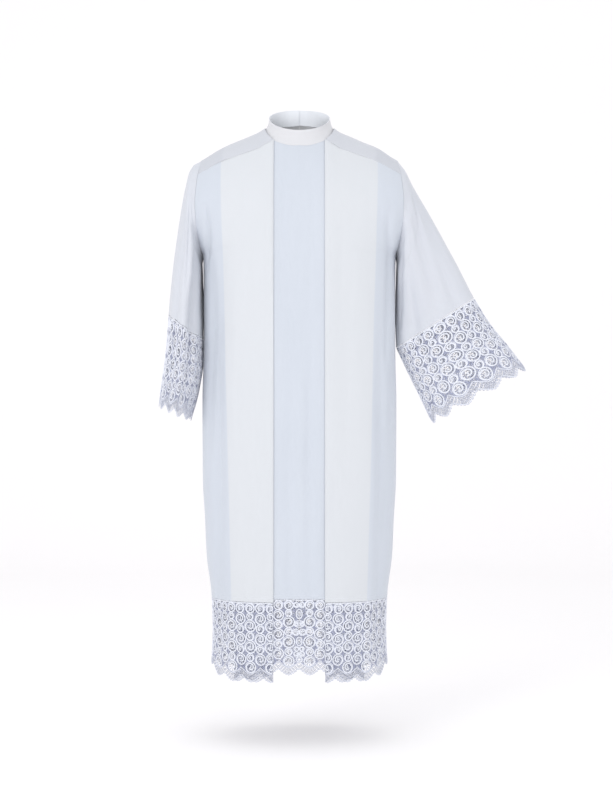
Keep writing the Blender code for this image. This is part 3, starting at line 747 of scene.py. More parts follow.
# The middle of the front, one half of it: ovals on the line of symmetry, and scrolls in pairs beside it
Oval = namedtuple("Oval", "u v half_u half_v")
MIDDLE_OVALS = (
    Oval(0.0, 36.0, 7.0, 11.5),
    Oval(0.0, 60.5, 12.5, 8.0),
    Oval(0.0, 103.5, 6.5, 10.5),
    Oval(0.0, 148.0, 7.0, 6.5),
)
PairedScroll = namedtuple("PairedScroll", "u v radius turns")
MIDDLE_SCROLLS = (
    PairedScroll(7.0, 14.0, 6.6, 1.5),
    PairedScroll(5.6, 60.5, 4.0, 1.2),
    PairedScroll(8.4, 81.0, 8.0, 1.7),
    PairedScroll(6.2, 121.5, 5.8, 1.5),
    PairedScroll(7.0, 134.5, 6.4, 1.5),
)

CORD = (1.75, 1.10)  # half width and half height of a cord, in millimetres
FINE = (1.15, 0.80)
BAR = (0.72, 0.42)
NET = (0.95, 0.35)
EYELET = (0.85, 0.60)
# How much of the cord's white each size of cord keeps. The rest is the net's colour, which is painted shade
# for the gaps; eyelets take about half of it.
UNSHADED_SHARE = {CORD: 1.0, FINE: 0.9, EYELET: 0.55}
CORD_STEP = 3.2


def round_at(u, v, radius, angle):
    """Points of a circle or a spiral about a place."""
    return np.stack([u + radius * np.cos(angle), v + radius * np.sin(angle)], axis=-1)


class Drawing:
    """Cords and bars drawn flat, gathered as one mesh."""

    def __init__(self, least=-1e9, most=1e9):
        self.points, self.faces, self.raised, self.area = [], [], [], 0.0
        self.least, self.most = least, most

    def stroke(self, path, size, closed=False, sides=4):
        """A cord along a path. The parts of it beyond the drawing's sides are left off."""
        path = np.asarray(path, float)
        inside = (path[:, 0] >= self.least) & (path[:, 0] <= self.most)
        if inside.all():
            self.solid(path, size, closed, sides)
            return
        if closed:
            start = int(np.argmin(inside))
            path, inside = np.roll(path, -start, axis=0), np.roll(inside, -start)
        run = []
        for point, kept in zip(path, inside):
            if kept:
                run.append(point)
                continue
            if len(run) > 1:
                self.solid(np.array(run), size, False, sides)
            run = []
        if len(run) > 1:
            self.solid(np.array(run), size, False, sides)

    def solid(self, path, size, closed, sides):
        half_width, half_height = size
        ahead = np.roll(path, -1, axis=0) - path if closed else np.diff(path, axis=0)
        self.area += 2 * half_width * np.linalg.norm(ahead, axis=1).sum()
        ahead = unit(ahead)
        if closed:
            tangent = unit(ahead + np.roll(ahead, 1, axis=0))
        else:
            tangent = unit(np.concatenate([ahead[:1], ahead]) + np.concatenate([ahead, ahead[-1:]]))
        across = np.stack([-tangent[:, 1], tangent[:, 0]], axis=-1) * half_width
        flat = np.pad(path, ((0, 0), (0, 1)))
        across = np.pad(across, ((0, 0), (0, 1)))
        up = np.array([0, 0, half_height])
        if sides == 4:
            rings = np.stack([flat + across, flat + up, flat - across, flat - up], axis=1)
        else:
            rings = np.stack([flat + across - up * 0.5, flat + up, flat - across - up * 0.5], axis=1)
        first = sum(len(part) for part in self.points)
        count = len(path)
        self.points.append(rings.reshape(-1, 3))
        # The share of the cord's white at these points. What is left is the net's painted shade.
        self.raised += [UNSHADED_SHARE.get(size, 0.0)] * (count * sides)
        for k in range(count if closed else count - 1):
            a, b = first + k * sides, first + (k + 1) % count * sides
            for j in range(sides):
                n = (j + 1) % sides
                self.faces.append((a + j, b + j, b + n, a + n))
        if not closed:
            last = first + (count - 1) * sides
            self.faces.append(tuple(first + j for j in range(sides)))
            self.faces.append(tuple(last + j for j in reversed(range(sides))))

    def ring(self, u, v, radius, size, steps=8, sides=4):
        turn = 2 * np.pi * np.arange(steps) / steps
        self.stroke(round_at(u, v, radius, turn), size, True, sides)

    def bar(self, start, end, size=BAR):
        self.stroke([start, end], size, sides=3)

    def made(self, name):
        """The drawing as an object: u along X, v down -Y, and the cords' height along Z, in metres."""
        points = np.concatenate(self.points) * np.array([MM, -MM, MM])
        piece = new_pattern(name, points, self.faces)
        # The raised share chooses the cord's white over the net's painted shade in the lace's finish.
        piece.data.attributes.new("raised", "FLOAT", "POINT").data.foreach_set("value", self.raised)
        return piece


def signed_volume(points, faces):
    total = 0.0
    for first, *rest in faces:
        for b, c in zip(rest, rest[1:]):
            total += np.dot(points[first], np.cross(points[b], points[c]))
    return total


def new_pattern(name, points, faces):
    """A closed shape that Geometry Nodes repeat. It isn't shown itself."""
    piece = new_object(name, points, faces)
    if signed_volume(points, faces) < 0:
        piece.data.flip_normals()
    piece.hide_render = True
    return piece


def draw_scroll(drawing, u, v, radius, turns, start, spin):
    """A cord that goes once round and then winds in, with bars to its coil and a small ring inside."""
    steps = max(int(2 * np.pi * radius * 0.72 * turns / CORD_STEP), 10)
    t = np.linspace(0, turns, steps + 1)
    inward = np.maximum(t - 0.5, 0.0) / (turns - 0.5)
    reach = radius * (1 - 0.66 * inward**0.85)
    angle = start + spin * 2 * np.pi * t
    drawing.stroke(round_at(u, v, reach, angle), CORD)
    closing = np.linspace(0.5, 1.0, 8)
    angle = start + spin * 2 * np.pi * closing
    drawing.stroke(round_at(u, v, radius, angle), FINE)
    bars = max(round(radius * 0.78), 5)
    coil = np.interp(1.0 + np.arange(bars) / bars, t, reach)
    for k in range(bars):
        angle = start + spin * 2 * np.pi * k / bars
        out = np.array([math.cos(angle), math.sin(angle)])
        drawing.bar((u, v) + out * coil[k], (u, v) + out * radius)
    if radius > 6:
        drawing.ring(u, v, radius * 0.09, FINE, 6)


def draw_column(drawing, u, scrolls, spin):
    """Scrolls one below another. Each starts where it touches the one above, and turns the other way."""
    for scroll in scrolls:
        draw_scroll(drawing, u, scroll.v, scroll.radius, scroll.turns, -math.pi / 2, spin)
        spin = -spin


def draw_oval(drawing, oval, inner):
    """One half of an oval on the line of symmetry, with bars to a smaller one inside it."""
    turn = np.linspace(-math.pi / 2, math.pi / 2, 11)
    for share, size in ((1.0, CORD), (inner, FINE)):
        u, v = oval.half_u * share * np.cos(turn), oval.v + oval.half_v * share * np.sin(turn)
        drawing.stroke(np.stack([u, v], axis=-1), size)
    for angle in turn[1:-1:2]:
        out = np.array([oval.half_u * math.cos(angle), oval.half_v * math.sin(angle)])
        drawing.bar((0, oval.v) + out * inner, (0, oval.v) + out)


def edge_v(u):
    """Where the scalloped edge lies: its tips are in the middle of a repeat and its notches at its ends."""
    from_tip = 2 * np.abs(np.mod(u / PITCH, 1.0) - 0.5)
    return DEPTH - LOBE * from_tip**LOBE_POINT


BORDER_CORDS = (1.9, 18.9)  # above the edge
BORDER_EYELETS = (5.2, 10.2, 15.2)
EYELET_RADIUS = 2.0
EYELETS = 9
PICOT_RADIUS = 1.7
HEADER_V = 1.4
TIE_V = 9.0  # where the bars from the header end
ARCH_RADIUS = 12.2
OPEN_V = 7.0
KNOT = (0.55, 0.55)
KNOT_RADIUS = 0.75
KNOT_GAP = 6.0
KNOT_ROWS = 0.87  # from one row of knots to the next, in gaps
KNOT_CLEAR = 2.6  # from a scroll to the nearest knot
LONGEST_BAR = 12.5
SIDE_INSET = 0.9  # from the last repeat's end to the middle of the cord on the side seam


def draw_border(drawing):
    """Rows of eyelets between cords that follow the scallops, and a picot edge."""
    u = np.linspace(0, PITCH, 15)
    for above in BORDER_CORDS:
        drawing.stroke(np.stack([u, edge_v(u) - above], axis=-1), FINE)
    for k in range(EYELETS):
        for row, above in enumerate(BORDER_EYELETS):
            u = (k + 0.5 * (row % 2)) * PITCH / EYELETS
            drawing.ring(u, edge_v(u) - above, EYELET_RADIUS, EYELET, 6, 3)
        u = (k + 0.5) * PITCH / EYELETS
        turn = np.linspace(0.15, math.pi - 0.15, 5)
        v = edge_v(u) - 2.0
        drawing.stroke(round_at(u, v, PICOT_RADIUS, turn), EYELET, sides=3)


def draw_header(drawing, centres):
    """The cord that is sewn to the cloth, and an arch over each of the first scrolls."""
    u = np.linspace(0, PITCH, 7)
    drawing.stroke(np.stack([u, HEADER_V + 0 * u], axis=-1), CORD)
    for centre in centres:
        turn = np.linspace(math.pi * 1.06, math.pi * 1.94, 10)
        drawing.stroke(round_at(centre, LOBE_COLUMN[0].v, ARCH_RADIUS, turn), FINE)
    for u in (PITCH * 0.25, PITCH * 0.75):
        drawing.bar((u, HEADER_V), (u, TIE_V))


def in_oval(points, oval, margin=0.0):
    u = (points[:, 0] - oval.u) / (oval.half_u + margin)
    v = (points[:, 1] - oval.v) / (oval.half_v + margin)
    return u * u + v * v < 1


def draw_ground(drawing, ovals, seam_u=None):
    """The ground: bars from each figure to its neighbours, and over small knots in the wider gaps."""
    spots, owner = [], []
    for number, oval in enumerate(ovals):
        count = max(round((oval.half_u + oval.half_v) * 0.46), 5)
        turn = 2 * np.pi * (np.arange(count) + 0.5 * (number % 2)) / count
        spots += list(zip(oval.u + oval.half_u * np.cos(turn), oval.v + oval.half_v * np.sin(turn)))
        owner += [number] * count
    gap = KNOT_GAP
    knots = np.array([
        (u + gap / 2 * (row % 2), gap + row * gap * KNOT_ROWS)
        for row in range(int(DEPTH / gap / KNOT_ROWS))
        for u in np.arange(-3 * gap, PITCH + 3 * gap, gap)
    ])
    free = knots[:, 1] < edge_v(knots[:, 0]) - BORDER_CORDS[-1] - 2.0
    for oval in ovals:
        free &= ~in_oval(knots, oval, KNOT_CLEAR)
    knots = knots[free]
    spots += [tuple(knot) for knot in knots]
    owner += [-1] * len(knots)
    rim_u = np.arange(-10.0, PITCH + 10.1, 5.0)
    spots += [(u, HEADER_V) for u in rim_u] + [(u, edge_v(u) - BORDER_CORDS[-1]) for u in rim_u]
    owner += [-2] * (2 * len(rim_u))
    _, edges, *_ = delaunay_2d_cdt([Vector(spot) for spot in spots], [], [], 0, 1e-5, True)
    spots, owner = np.array(spots), np.array(owner)
    ends = np.array(edges)
    start, end = spots[ends[:, 0]], spots[ends[:, 1]]
    middle = (start + end) / 2
    kept = (middle[:, 0] >= -1e-6) & (middle[:, 0] < PITCH - 1e-6)
    kept &= np.linalg.norm(end - start, axis=1) < LONGEST_BAR
    same = owner[ends[:, 0]] == owner[ends[:, 1]]
    kept &= ~(same & (owner[ends[:, 0]] != -1))
    kept &= middle[:, 1] > OPEN_V  # the corners between the arches stay open
    for oval in ovals:
        kept &= ~in_oval(middle, oval, -0.4)
    if seam_u:
        kept &= (start[:, 0] < seam_u) & (end[:, 0] < seam_u)
    for a, b in zip(start[kept], end[kept]):
        drawing.bar(a, b, NET)
    for u, v in knots:
        if 0 <= u < (seam_u or PITCH):
            drawing.ring(u, v, KNOT_RADIUS, KNOT, 4, 3)


def column_ovals(u, scrolls):
    return [Oval(u, scroll.v, scroll.radius, scroll.radius) for scroll in scrolls]


def repeat_ovals():
    """The scrolls of a whole repeat, those on its right end included."""
    ends = column_ovals(0.0, NOTCH_COLUMN) + column_ovals(PITCH, NOTCH_COLUMN)
    return column_ovals(PITCH / 2, LOBE_COLUMN) + ends


def draw_repeat():
    """One repeat: the notch column on its left end and the lobe column in its middle."""
    drawing = Drawing()
    draw_column(drawing, 0.0, NOTCH_COLUMN, 1)
    draw_column(drawing, PITCH / 2, LOBE_COLUMN, -1)
    draw_header(drawing, (0.0, PITCH / 2))
    draw_border(drawing)
    draw_ground(drawing, repeat_ovals())
    return drawing


def draw_middle():
    """The half repeat right of the line of symmetry, with ovals and paired scrolls in place of its column."""
    drawing = Drawing(least=0.0)
    for oval in MIDDLE_OVALS:
        draw_oval(drawing, oval, 0.45)
    for k, scroll in enumerate(MIDDLE_SCROLLS):
        draw_scroll(drawing, *scroll, math.pi / 2 * (-1) ** k, 1)
    draw_column(drawing, PITCH / 2, LOBE_COLUMN, -1)
    draw_header(drawing, (0.0, PITCH / 2))
    draw_border(drawing)
    ovals = list(MIDDLE_OVALS) + column_ovals(PITCH / 2, LOBE_COLUMN) + column_ovals(PITCH, NOTCH_COLUMN)
    for u, v, radius, _ in MIDDLE_SCROLLS:
        ovals += [Oval(u, v, radius, radius), Oval(-u, v, radius, radius)]
    draw_ground(drawing, ovals)
    return drawing


def draw_side_end():
    """The last repeat before the side seam, which cuts through its scrolls."""
    seam_u = PITCH - SIDE_INSET
    drawing = Drawing(most=seam_u)
    draw_column(drawing, 0.0, NOTCH_COLUMN, 1)
    draw_column(drawing, PITCH / 2, LOBE_COLUMN, -1)
    draw_column(drawing, PITCH, NOTCH_COLUMN, 1)
    draw_header(drawing, (0.0, PITCH / 2))
    draw_border(drawing)
    v = np.linspace(HEADER_V, edge_v(PITCH) - 1.5, 20)
    drawing.stroke(np.stack([seam_u + 0 * v, v], axis=-1), CORD)
    draw_ground(drawing, repeat_ovals(), seam_u)
    return drawing


# Geometry Nodes


def feed(tree, target, value):
    """Links a socket or a varying number to a node's input, or sets a constant there."""
    source = getattr(value, "socket", value)
    if isinstance(source, bpy.types.NodeSocket):
        tree.links.new(source, target)
    else:
        target.default_value = source


def new_node(tree, kind, settings, values):
    """A node of a kind, its settings made first, and its sockets given by identifier."""
    made = tree.nodes.new(kind)
    for name, value in (settings or {}).items():
        setattr(made, name, value)
    sockets = {socket.identifier: socket for socket in made.inputs}
    for name, value in values.items():
        target = sockets[name if name in sockets else name.replace("_", " ")]
        for each in value if isinstance(value, list) else [value]:
            feed(tree, target, each)
    return made


class Tree:
    """A Geometry Nodes tree built by name."""

    def __init__(self, name, **inputs):
        self.tree = bpy.data.node_groups.new(name, "GeometryNodeTree")
        face = self.tree.interface
        face.new_socket("Geometry", in_out="INPUT", socket_type="NodeSocketGeometry")
        self.names = {}
        for label, kind in inputs.items():
            socket = face.new_socket(label, in_out="INPUT", socket_type="NodeSocket" + kind)
            self.names[label] = socket.identifier
        face.new_socket("Geometry", in_out="OUTPUT", socket_type="NodeSocketGeometry")
        self.start = self.tree.nodes.new("NodeGroupInput")
        self.end = self.tree.nodes.new("NodeGroupOutput")

    def input(self, label):
        return self.start.outputs[label]

    def node(self, kind, settings=None, output=0, **values):
        return new_node(self.tree, kind, settings, values).outputs[output]

    def math(self, operation, a, b=0.0):
        return self.node("ShaderNodeMath", {"operation": operation}, Value=a, Value_001=b)

    def vector(self, operation, a, b):
        return self.node("ShaderNodeVectorMath", {"operation": operation}, Vector=a, Vector_001=b)

    def finish(self, geometry):
        """Realises what the tree makes and gives it the material of the input called Material."""
        real = self.node("GeometryNodeRealizeInstances", Geometry=geometry)
        done = self.node("GeometryNodeSetMaterial", Geometry=real, Material=self.input("Material"))
        self.tree.links.new(done, self.end.inputs[0])

    def run(self, piece, name, **values):
        """The tree's result on a piece, as a new plain mesh object. The piece itself is removed."""
        modifier = piece.modifiers.new("made", "NODES")
        modifier.node_group = self.tree
        for label, value in values.items():
            modifier[self.names[label]] = value
        bpy.context.view_layer.update()
        graph = bpy.context.evaluated_depsgraph_get()
        mesh = bpy.data.meshes.new_from_object(piece.evaluated_get(graph))
        mesh.name = name
        made = bpy.data.objects.new(name, mesh)
        bpy.context.scene.collection.objects.link(made)
        bpy.data.objects.remove(piece, do_unlink=True)
        for other in list(mesh.attributes):
            if other.name in ("outward", "place"):
                mesh.attributes.remove(other)
        return made


def part_geometry(tree, label):
    return tree.node("GeometryNodeObjectInfo", output=4, Object=tree.input(label))


def repeated(tree, first, count):
    """The repeat, set along X a pitch apart."""
    start = tree.node("ShaderNodeCombineXYZ", X=first)
    step = tree.node("ShaderNodeCombineXYZ", X=tree.input("Pitch"))
    line = tree.node("GeometryNodeMeshLine", Count=count, Start_Location=start, Offset=step)
    placed = tree.node("GeometryNodeInstanceOnPoints", Points=line, Instance=part_geometry(tree, "Repeat"))
    return tree.node("GeometryNodeRealizeInstances", Geometry=placed)


def laid_on(tree, strip, start):
    """The strip laid onto the surface that the modifier is on, its height kept outwards."""
    axes = tree.node("ShaderNodeSeparateXYZ", Vector=tree.node("GeometryNodeInputPosition")).node
    u = tree.math("DIVIDE", axes.outputs["X"], tree.input("Length"))
    u = tree.math("ADD", u, start)
    u = tree.math("MAXIMUM", tree.math("MINIMUM", u, tree.input("Most")), tree.input("Least"))
    v = tree.math("DIVIDE", tree.math("MULTIPLY", axes.outputs["Y"], -1.0), DEPTH * MM)
    v = tree.math("MAXIMUM", tree.math("MINIMUM", v, 0.9995), 0.0005)
    place = tree.node("ShaderNodeCombineXYZ", X=u, Y=v)
    vector = {"data_type": "FLOAT_VECTOR"}
    flat = tree.node("GeometryNodeInputNamedAttribute", vector, Name="place")
    outward = tree.node("GeometryNodeInputNamedAttribute", vector, Name="outward")
    found = []
    for value in (tree.node("GeometryNodeInputPosition"), outward):
        sampled = tree.node(
            "GeometryNodeSampleUVSurface", vector, Mesh=tree.input("Geometry"), Value=value,
            Source_UV_Map=flat, Sample_UV=place,
        )
        found.append(sampled)
    lift = tree.node("ShaderNodeVectorMath", {"operation": "SCALE"}, Vector=found[1], Scale=axes.outputs["Z"])
    return tree.node("GeometryNodeSetPosition", Geometry=strip, Position=tree.vector("ADD", found[0], lift))


STRIP_INPUTS = {"Repeat": "Object", "Pitch": "Float", "Count": "Int", "Length": "Float"}
STRIP_INPUTS |= {"Least": "Float", "Most": "Float", "Material": "Material"}


def round_lace_tree():
    """Lace that goes all round a tube."""
    tree = Tree("round_lace", **STRIP_INPUTS)
    strip = repeated(tree, 0.0, tree.input("Count"))
    tree.finish(laid_on(tree, strip, 0.0))
    return tree


def mirrored_lace_tree():
    """Lace that is the same left and right of its middle, and cut at both ends."""
    tree = Tree("mirrored_lace", **STRIP_INPUTS, Middle="Object", End="Object")
    inner = repeated(tree, tree.input("Pitch"), tree.math("SUBTRACT", tree.input("Count"), 2.0))
    reach = tree.math("MULTIPLY", tree.math("SUBTRACT", tree.input("Count"), 1.0), tree.input("Pitch"))
    away = tree.node("ShaderNodeCombineXYZ", X=reach)
    end = tree.node("GeometryNodeTransform", Geometry=part_geometry(tree, "End"), Translation=away)
    half = tree.node("GeometryNodeJoinGeometry", Geometry=[inner, end, part_geometry(tree, "Middle")])
    other = tree.node("GeometryNodeTransform", Geometry=half, Scale=(-1.0, 1.0, 1.0))
    other = tree.node("GeometryNodeFlipFaces", Mesh=other)
    whole = tree.node("GeometryNodeJoinGeometry", Geometry=[half, other])
    tree.finish(laid_on(tree, whole, 0.5))
    return tree


def stitch_tree():
    """Stitches along edges: short rounded threads, one every pitch, on the seam's outer side."""
    tree = Tree("stitches", Stitch="Object", Pitch="Float", Material="Material")
    curve = tree.node("GeometryNodeMeshToCurve", Mesh=tree.input("Geometry"))
    even = tree.node("GeometryNodeResampleCurve", {"mode": "LENGTH"}, Curve=curve, Length=tree.input("Pitch"))
    tangent = tree.node("GeometryNodeInputTangent")
    aim = tree.node("FunctionNodeAlignRotationToVector", {"axis": "X"}, Vector=tangent)
    placed = tree.node(
        "GeometryNodeInstanceOnPoints", Points=even, Instance=part_geometry(tree, "Stitch"), Rotation=aim
    )
    tree.finish(placed)
    return tree


# Finishes


class Value:
    """A number that varies over a surface: arithmetic on it adds Math nodes to its finish."""

    def __init__(self, finish, socket):
        self.finish, self.socket = finish, socket

    def math(self, operation, *others):
        named = dict(zip(("Value", "Value_001", "Value_002"), others))
        return self.finish.node("ShaderNodeMath", {"operation": operation}, **named)

    def __add__(self, other):
        return self.math("ADD", self, other)

    def __radd__(self, other):
        return self.math("ADD", other, self)

    def __sub__(self, other):
        return self.math("SUBTRACT", self, other)

    def __rsub__(self, other):
        return self.math("SUBTRACT", other, self)

    def __mul__(self, other):
        return self.math("MULTIPLY", self, other)

    def __rmul__(self, other):
        return self.math("MULTIPLY", other, self)

    def sine(self):
        return self.math("SINE", self)


class Finish:
    """A Principled material. The constants go straight onto the shader's sockets."""

    def __init__(self, name, **constants):
        self.material = bpy.data.materials.new(name)
        self.material.use_nodes = True
        self.tree = self.material.node_tree
        self.shader = self.tree.nodes["Principled BSDF"]
        for label, value in constants.items():
            self.shader.inputs[label.replace("_", " ")].default_value = value

    def node(self, kind, settings=None, output=0, **values):
        return Value(self, new_node(self.tree, kind, settings, values).outputs[output])

    def give(self, label, value):
        feed(self.tree, self.shader.inputs[label], value)

    def noise(self, vector, scale, detail=2.0):
        return self.node("ShaderNodeTexNoise", Vector=vector, Scale=scale, Detail=detail)

    def stretched(self, vector, scale):
        return self.node("ShaderNodeMapping", Vector=vector, Scale=scale)

    def blend(self, share, a, b):
        return self.node(
            "ShaderNodeMix", {"data_type": "RGBA"}, output=2, Factor_Float=share, A_Color=a, B_Color=b
        )

    def bump(self, height, distance, strength):
        return self.node("ShaderNodeBump", Height=height, Distance=distance, Strength=strength)


# Each cotton's tones: the first two are the ends of its uneven mottle, and the third is its pale tone. The
# body's blue-grey is painted shade of the hollow inside seen through one layer; the pale tone is painted
# where three thicknesses lie together and on the insides of the yoke and collar.
Tint = namedtuple("Tint", "shade light deep")
BODY_TINT = Tint((0.510, 0.545, 0.604, 1), (0.566, 0.599, 0.656, 1), (0.600, 0.617, 0.642, 1))
# The sleeves' tones are painted lighter and less blue than the body's: painted light against the shade of
# their folds and armpits, and without the body's painted shade of the hollow.
SLEEVE_TINT_PAINTED_LIGHTER = Tint((0.532, 0.552, 0.602, 1), (0.596, 0.614, 0.660, 1), (0.600, 0.617, 0.642, 1))
YOKE_TINT = Tint((0.485, 0.502, 0.548, 1), (0.520, 0.535, 0.578, 1), (0.840, 0.845, 0.860, 1))
COLLAR_TINT = Tint((0.600, 0.600, 0.622, 1), (0.640, 0.640, 0.662, 1), (0.840, 0.865, 0.910, 1))
LACE_CORD = (0.775, 0.797, 0.865, 1)
# The net's dark blue-grey is painted shade, standing for the shade in the gaps between the cords.
LACE_NET_PAINTED_SHADE = (0.370, 0.395, 0.530, 1)
WARP = 2 * math.pi / 0.00075  # threads of the weave
WEFT = 2 * math.pi / 0.00085


def cloth_finish(name, tint, sheen=0.25):
    """Fine plain-woven cotton: uneven threads both ways. It is painted paler where it lies in three
    thicknesses and on the insides of the yoke and collar; the single layer's blue-grey is painted shade of
    the hollow inside, seen through the cloth.
    """
    finish = Finish(name, Roughness=0.80, Sheen_Weight=sheen, Sheen_Roughness=0.5, IOR=1.45)
    flat = finish.node("ShaderNodeUVMap", {"uv_map": "flat"})
    layers = finish.node("ShaderNodeAttribute", {"attribute_name": "layers"}, output=2)
    axes = finish.node("ShaderNodeSeparateXYZ", Vector=flat).socket.node
    along, down = Value(finish, axes.outputs["X"]), Value(finish, axes.outputs["Y"])
    slubs = finish.noise(finish.stretched(flat, (900.0, 14.0, 1.0)), 1.0)
    picks = finish.noise(finish.stretched(flat, (12.0, 800.0, 1.0)), 1.0)
    soft = finish.noise(finish.stretched(flat, (9.0, 3.0, 1.0)), 1.0, 3.0)
    threads = (along * WARP).sine() * (down * WEFT).sine()
    mottle = soft * 0.8 + slubs * 0.35 + picks * 0.25 - 0.2
    single = finish.blend(mottle, tint.shade, tint.light)
    # Painted light and shade: the single layer's blue-grey stands for the hollow's shade showing through, and
    # the share attribute paints in the pale tone.
    finish.give("Base Color", finish.blend(layers * 0.9, single, tint.deep))
    finish.give("Roughness", 0.74 + slubs * 0.12)
    height = threads * 0.5 + slubs * 0.8 + picks * 0.6
    finish.give("Normal", finish.bump(height, 0.00022, 0.35))
    return finish.material


def lace_finish():
    """Twisted cotton: white where the cord is laid thick. The thin net between is painted dark blue-grey:
    painted shade that stands for the gaps in the lace.
    """
    finish = Finish("lace_cord", Roughness=0.72, Sheen_Weight=0.3, Sheen_Roughness=0.5)
    place = finish.node("ShaderNodeTexCoord", output=3)
    strands = finish.noise(place, 1400.0, 1.0)
    patches = finish.noise(place, 60.0, 2.0)
    raised = finish.node("ShaderNodeAttribute", {"attribute_name": "raised"}, output=2)
    shade = tuple(channel * 0.88 for channel in LACE_CORD[:3]) + (1,)
    cord = finish.blend(patches * 0.7 + strands * 0.3, shade, LACE_CORD)
    # Painted shade: the thin net, and the eyelets in part, take the dark net colour.
    finish.give("Base Color", finish.blend(raised, LACE_NET_PAINTED_SHADE, cord))
    finish.give("Roughness", 0.66 + strands * 0.14)
    finish.give("Normal", finish.bump(strands, 0.0003, 0.5))
    return finish.material


def thread_finish():
    finish = Finish("sewing_thread", Roughness=0.6, Sheen_Weight=0.2)
    place = finish.node("ShaderNodeTexCoord", output=3)
    strands = finish.noise(place, 2600.0, 1.0)
    finish.give("Base Color", finish.blend(strands, (0.60, 0.62, 0.68, 1), (0.80, 0.82, 0.86, 1)))
    finish.give("Normal", finish.bump(strands, 0.0001, 0.4))
    return finish.material


def button_finish():
    """White moulded resin with a faint pearly cloud."""
    finish = Finish("button_resin", Roughness=0.28, Coat_Weight=0.4, Coat_Roughness=0.15, IOR=1.5)
    place = finish.node("ShaderNodeTexCoord", output=3)
    cloud = finish.noise(finish.stretched(place, (1.0, 1.0, 3.0)), 260.0, 3.0)
    finish.give("Base Color", finish.blend(cloud, (0.80, 0.80, 0.80, 1), (0.90, 0.89, 0.88, 1)))
    finish.give("Roughness", 0.22 + cloud * 0.12)
    return finish.material


# Pieces


def add_lace(name, tree, surface, material, count, length, least, most, **parts):
    """Lace laid on a surface: (points, outward directions, flat places) of a grid."""
    points, outward, flat = (np.ascontiguousarray(a.reshape(-1, a.shape[-1])) for a in surface)
    rows, columns = surface[0].shape[:2]
    faces = quads(np.arange(rows * columns).reshape(rows, columns))
    carrier = new_object(name + "_surface", points, faces)
    mesh = carrier.data
    mesh.attributes.new("outward", "FLOAT_VECTOR", "POINT").data.foreach_set("vector", outward.ravel())
    mesh.attributes.new("place", "FLOAT2", "POINT").data.foreach_set("vector", flat.ravel())
    made = tree.run(
        carrier, name, Pitch=PITCH * MM, Count=count, Length=length, Least=least, Most=most,
        Material=material, **parts,
    )
    made.data.shade_smooth()
    return made


def hem_surface(side, columns, rows=30):
    """The surface of a hem's lace: the pleated columns of its panel, and the flat length of the strip."""
    rise = drawn_up(side, columns)
    low = HEM_Z + EDGE_RISE * rise + SIDE_RISE * at_side(columns)
    z = np.linspace(HEM_SEAM_Z - SEAM_GAP / 2 + SEAM_RISE * rise, low, rows)
    grid = whole_panel(side, columns, z)
    outward = unit(np.cross(directions(grid, 1, False), directions(grid, 0, False)))
    outward *= -np.sign((outward[..., 1] * -side).mean())
    step = np.linalg.norm(np.diff(grid, axis=1), axis=-1).mean(axis=0)
    along = np.concatenate([[0], np.cumsum(step)])
    u = along / along[-1] + np.zeros((rows, 1))
    v = np.linspace(0, 1, rows)[:, None] + 0 * u
    return (grid, outward, np.stack([u, v], axis=-1)), float(along[-1])


def add_stitches(name, tree, paths, material):
    """Stitches along paths that already lie on the cloth."""
    points, edges = [], []
    for path in paths:
        first = len(points)
        points += [tuple(point) for point in path]
        edges += [(first + k, first + k + 1) for k in range(len(path) - 1)]
    mesh = bpy.data.meshes.new(name + "_paths")
    mesh.from_pydata(points, edges, [])
    piece = bpy.data.objects.new(name + "_paths", mesh)
    bpy.context.scene.collection.objects.link(piece)
    made = tree.run(piece, name, Pitch=STITCH_PITCH, Stitch=stitch_object(), Material=material)
    made.data.shade_smooth()
    return made


def stitch_object():
    """One stitch: a thread that dips into the cloth at both ends."""
    found = bpy.data.objects.get("stitch")
    if found:
        return found
    shares = np.array([0.0, 0.18, 0.5, 0.82, 1.0])
    radii = np.array([0.08, 0.26, 0.30, 0.26, 0.08]) * MM
    turn = 2 * np.pi * np.arange(5) / 5
    along = (shares - 0.5) * STITCH_LENGTH
    rings = [
        np.stack([0 * turn + x, radius * np.cos(turn), radius * np.sin(turn)], axis=-1)
        for x, radius in zip(along, radii)
    ]
    points = np.concatenate(rings)
    faces = [
        (k * 5 + j, k * 5 + (j + 1) % 5, (k + 1) * 5 + (j + 1) % 5, (k + 1) * 5 + j)
        for k in range(len(shares) - 1)
        for j in range(5)
    ]
    faces += [tuple(reversed(range(5))), tuple(len(points) - 5 + j for j in range(5))]
    return new_pattern("stitch", points, faces)


def path_on(grid, line, outside):
    """A path along a line of a grid's points, just outside the cloth."""
    lift = (CLOTH_WALL / 2 + STITCH_LIFT) * outside
    normal = unit(np.cross(directions(grid, 1, False), directions(grid, 0, False)))
    return grid[line] + normal[line] * lift


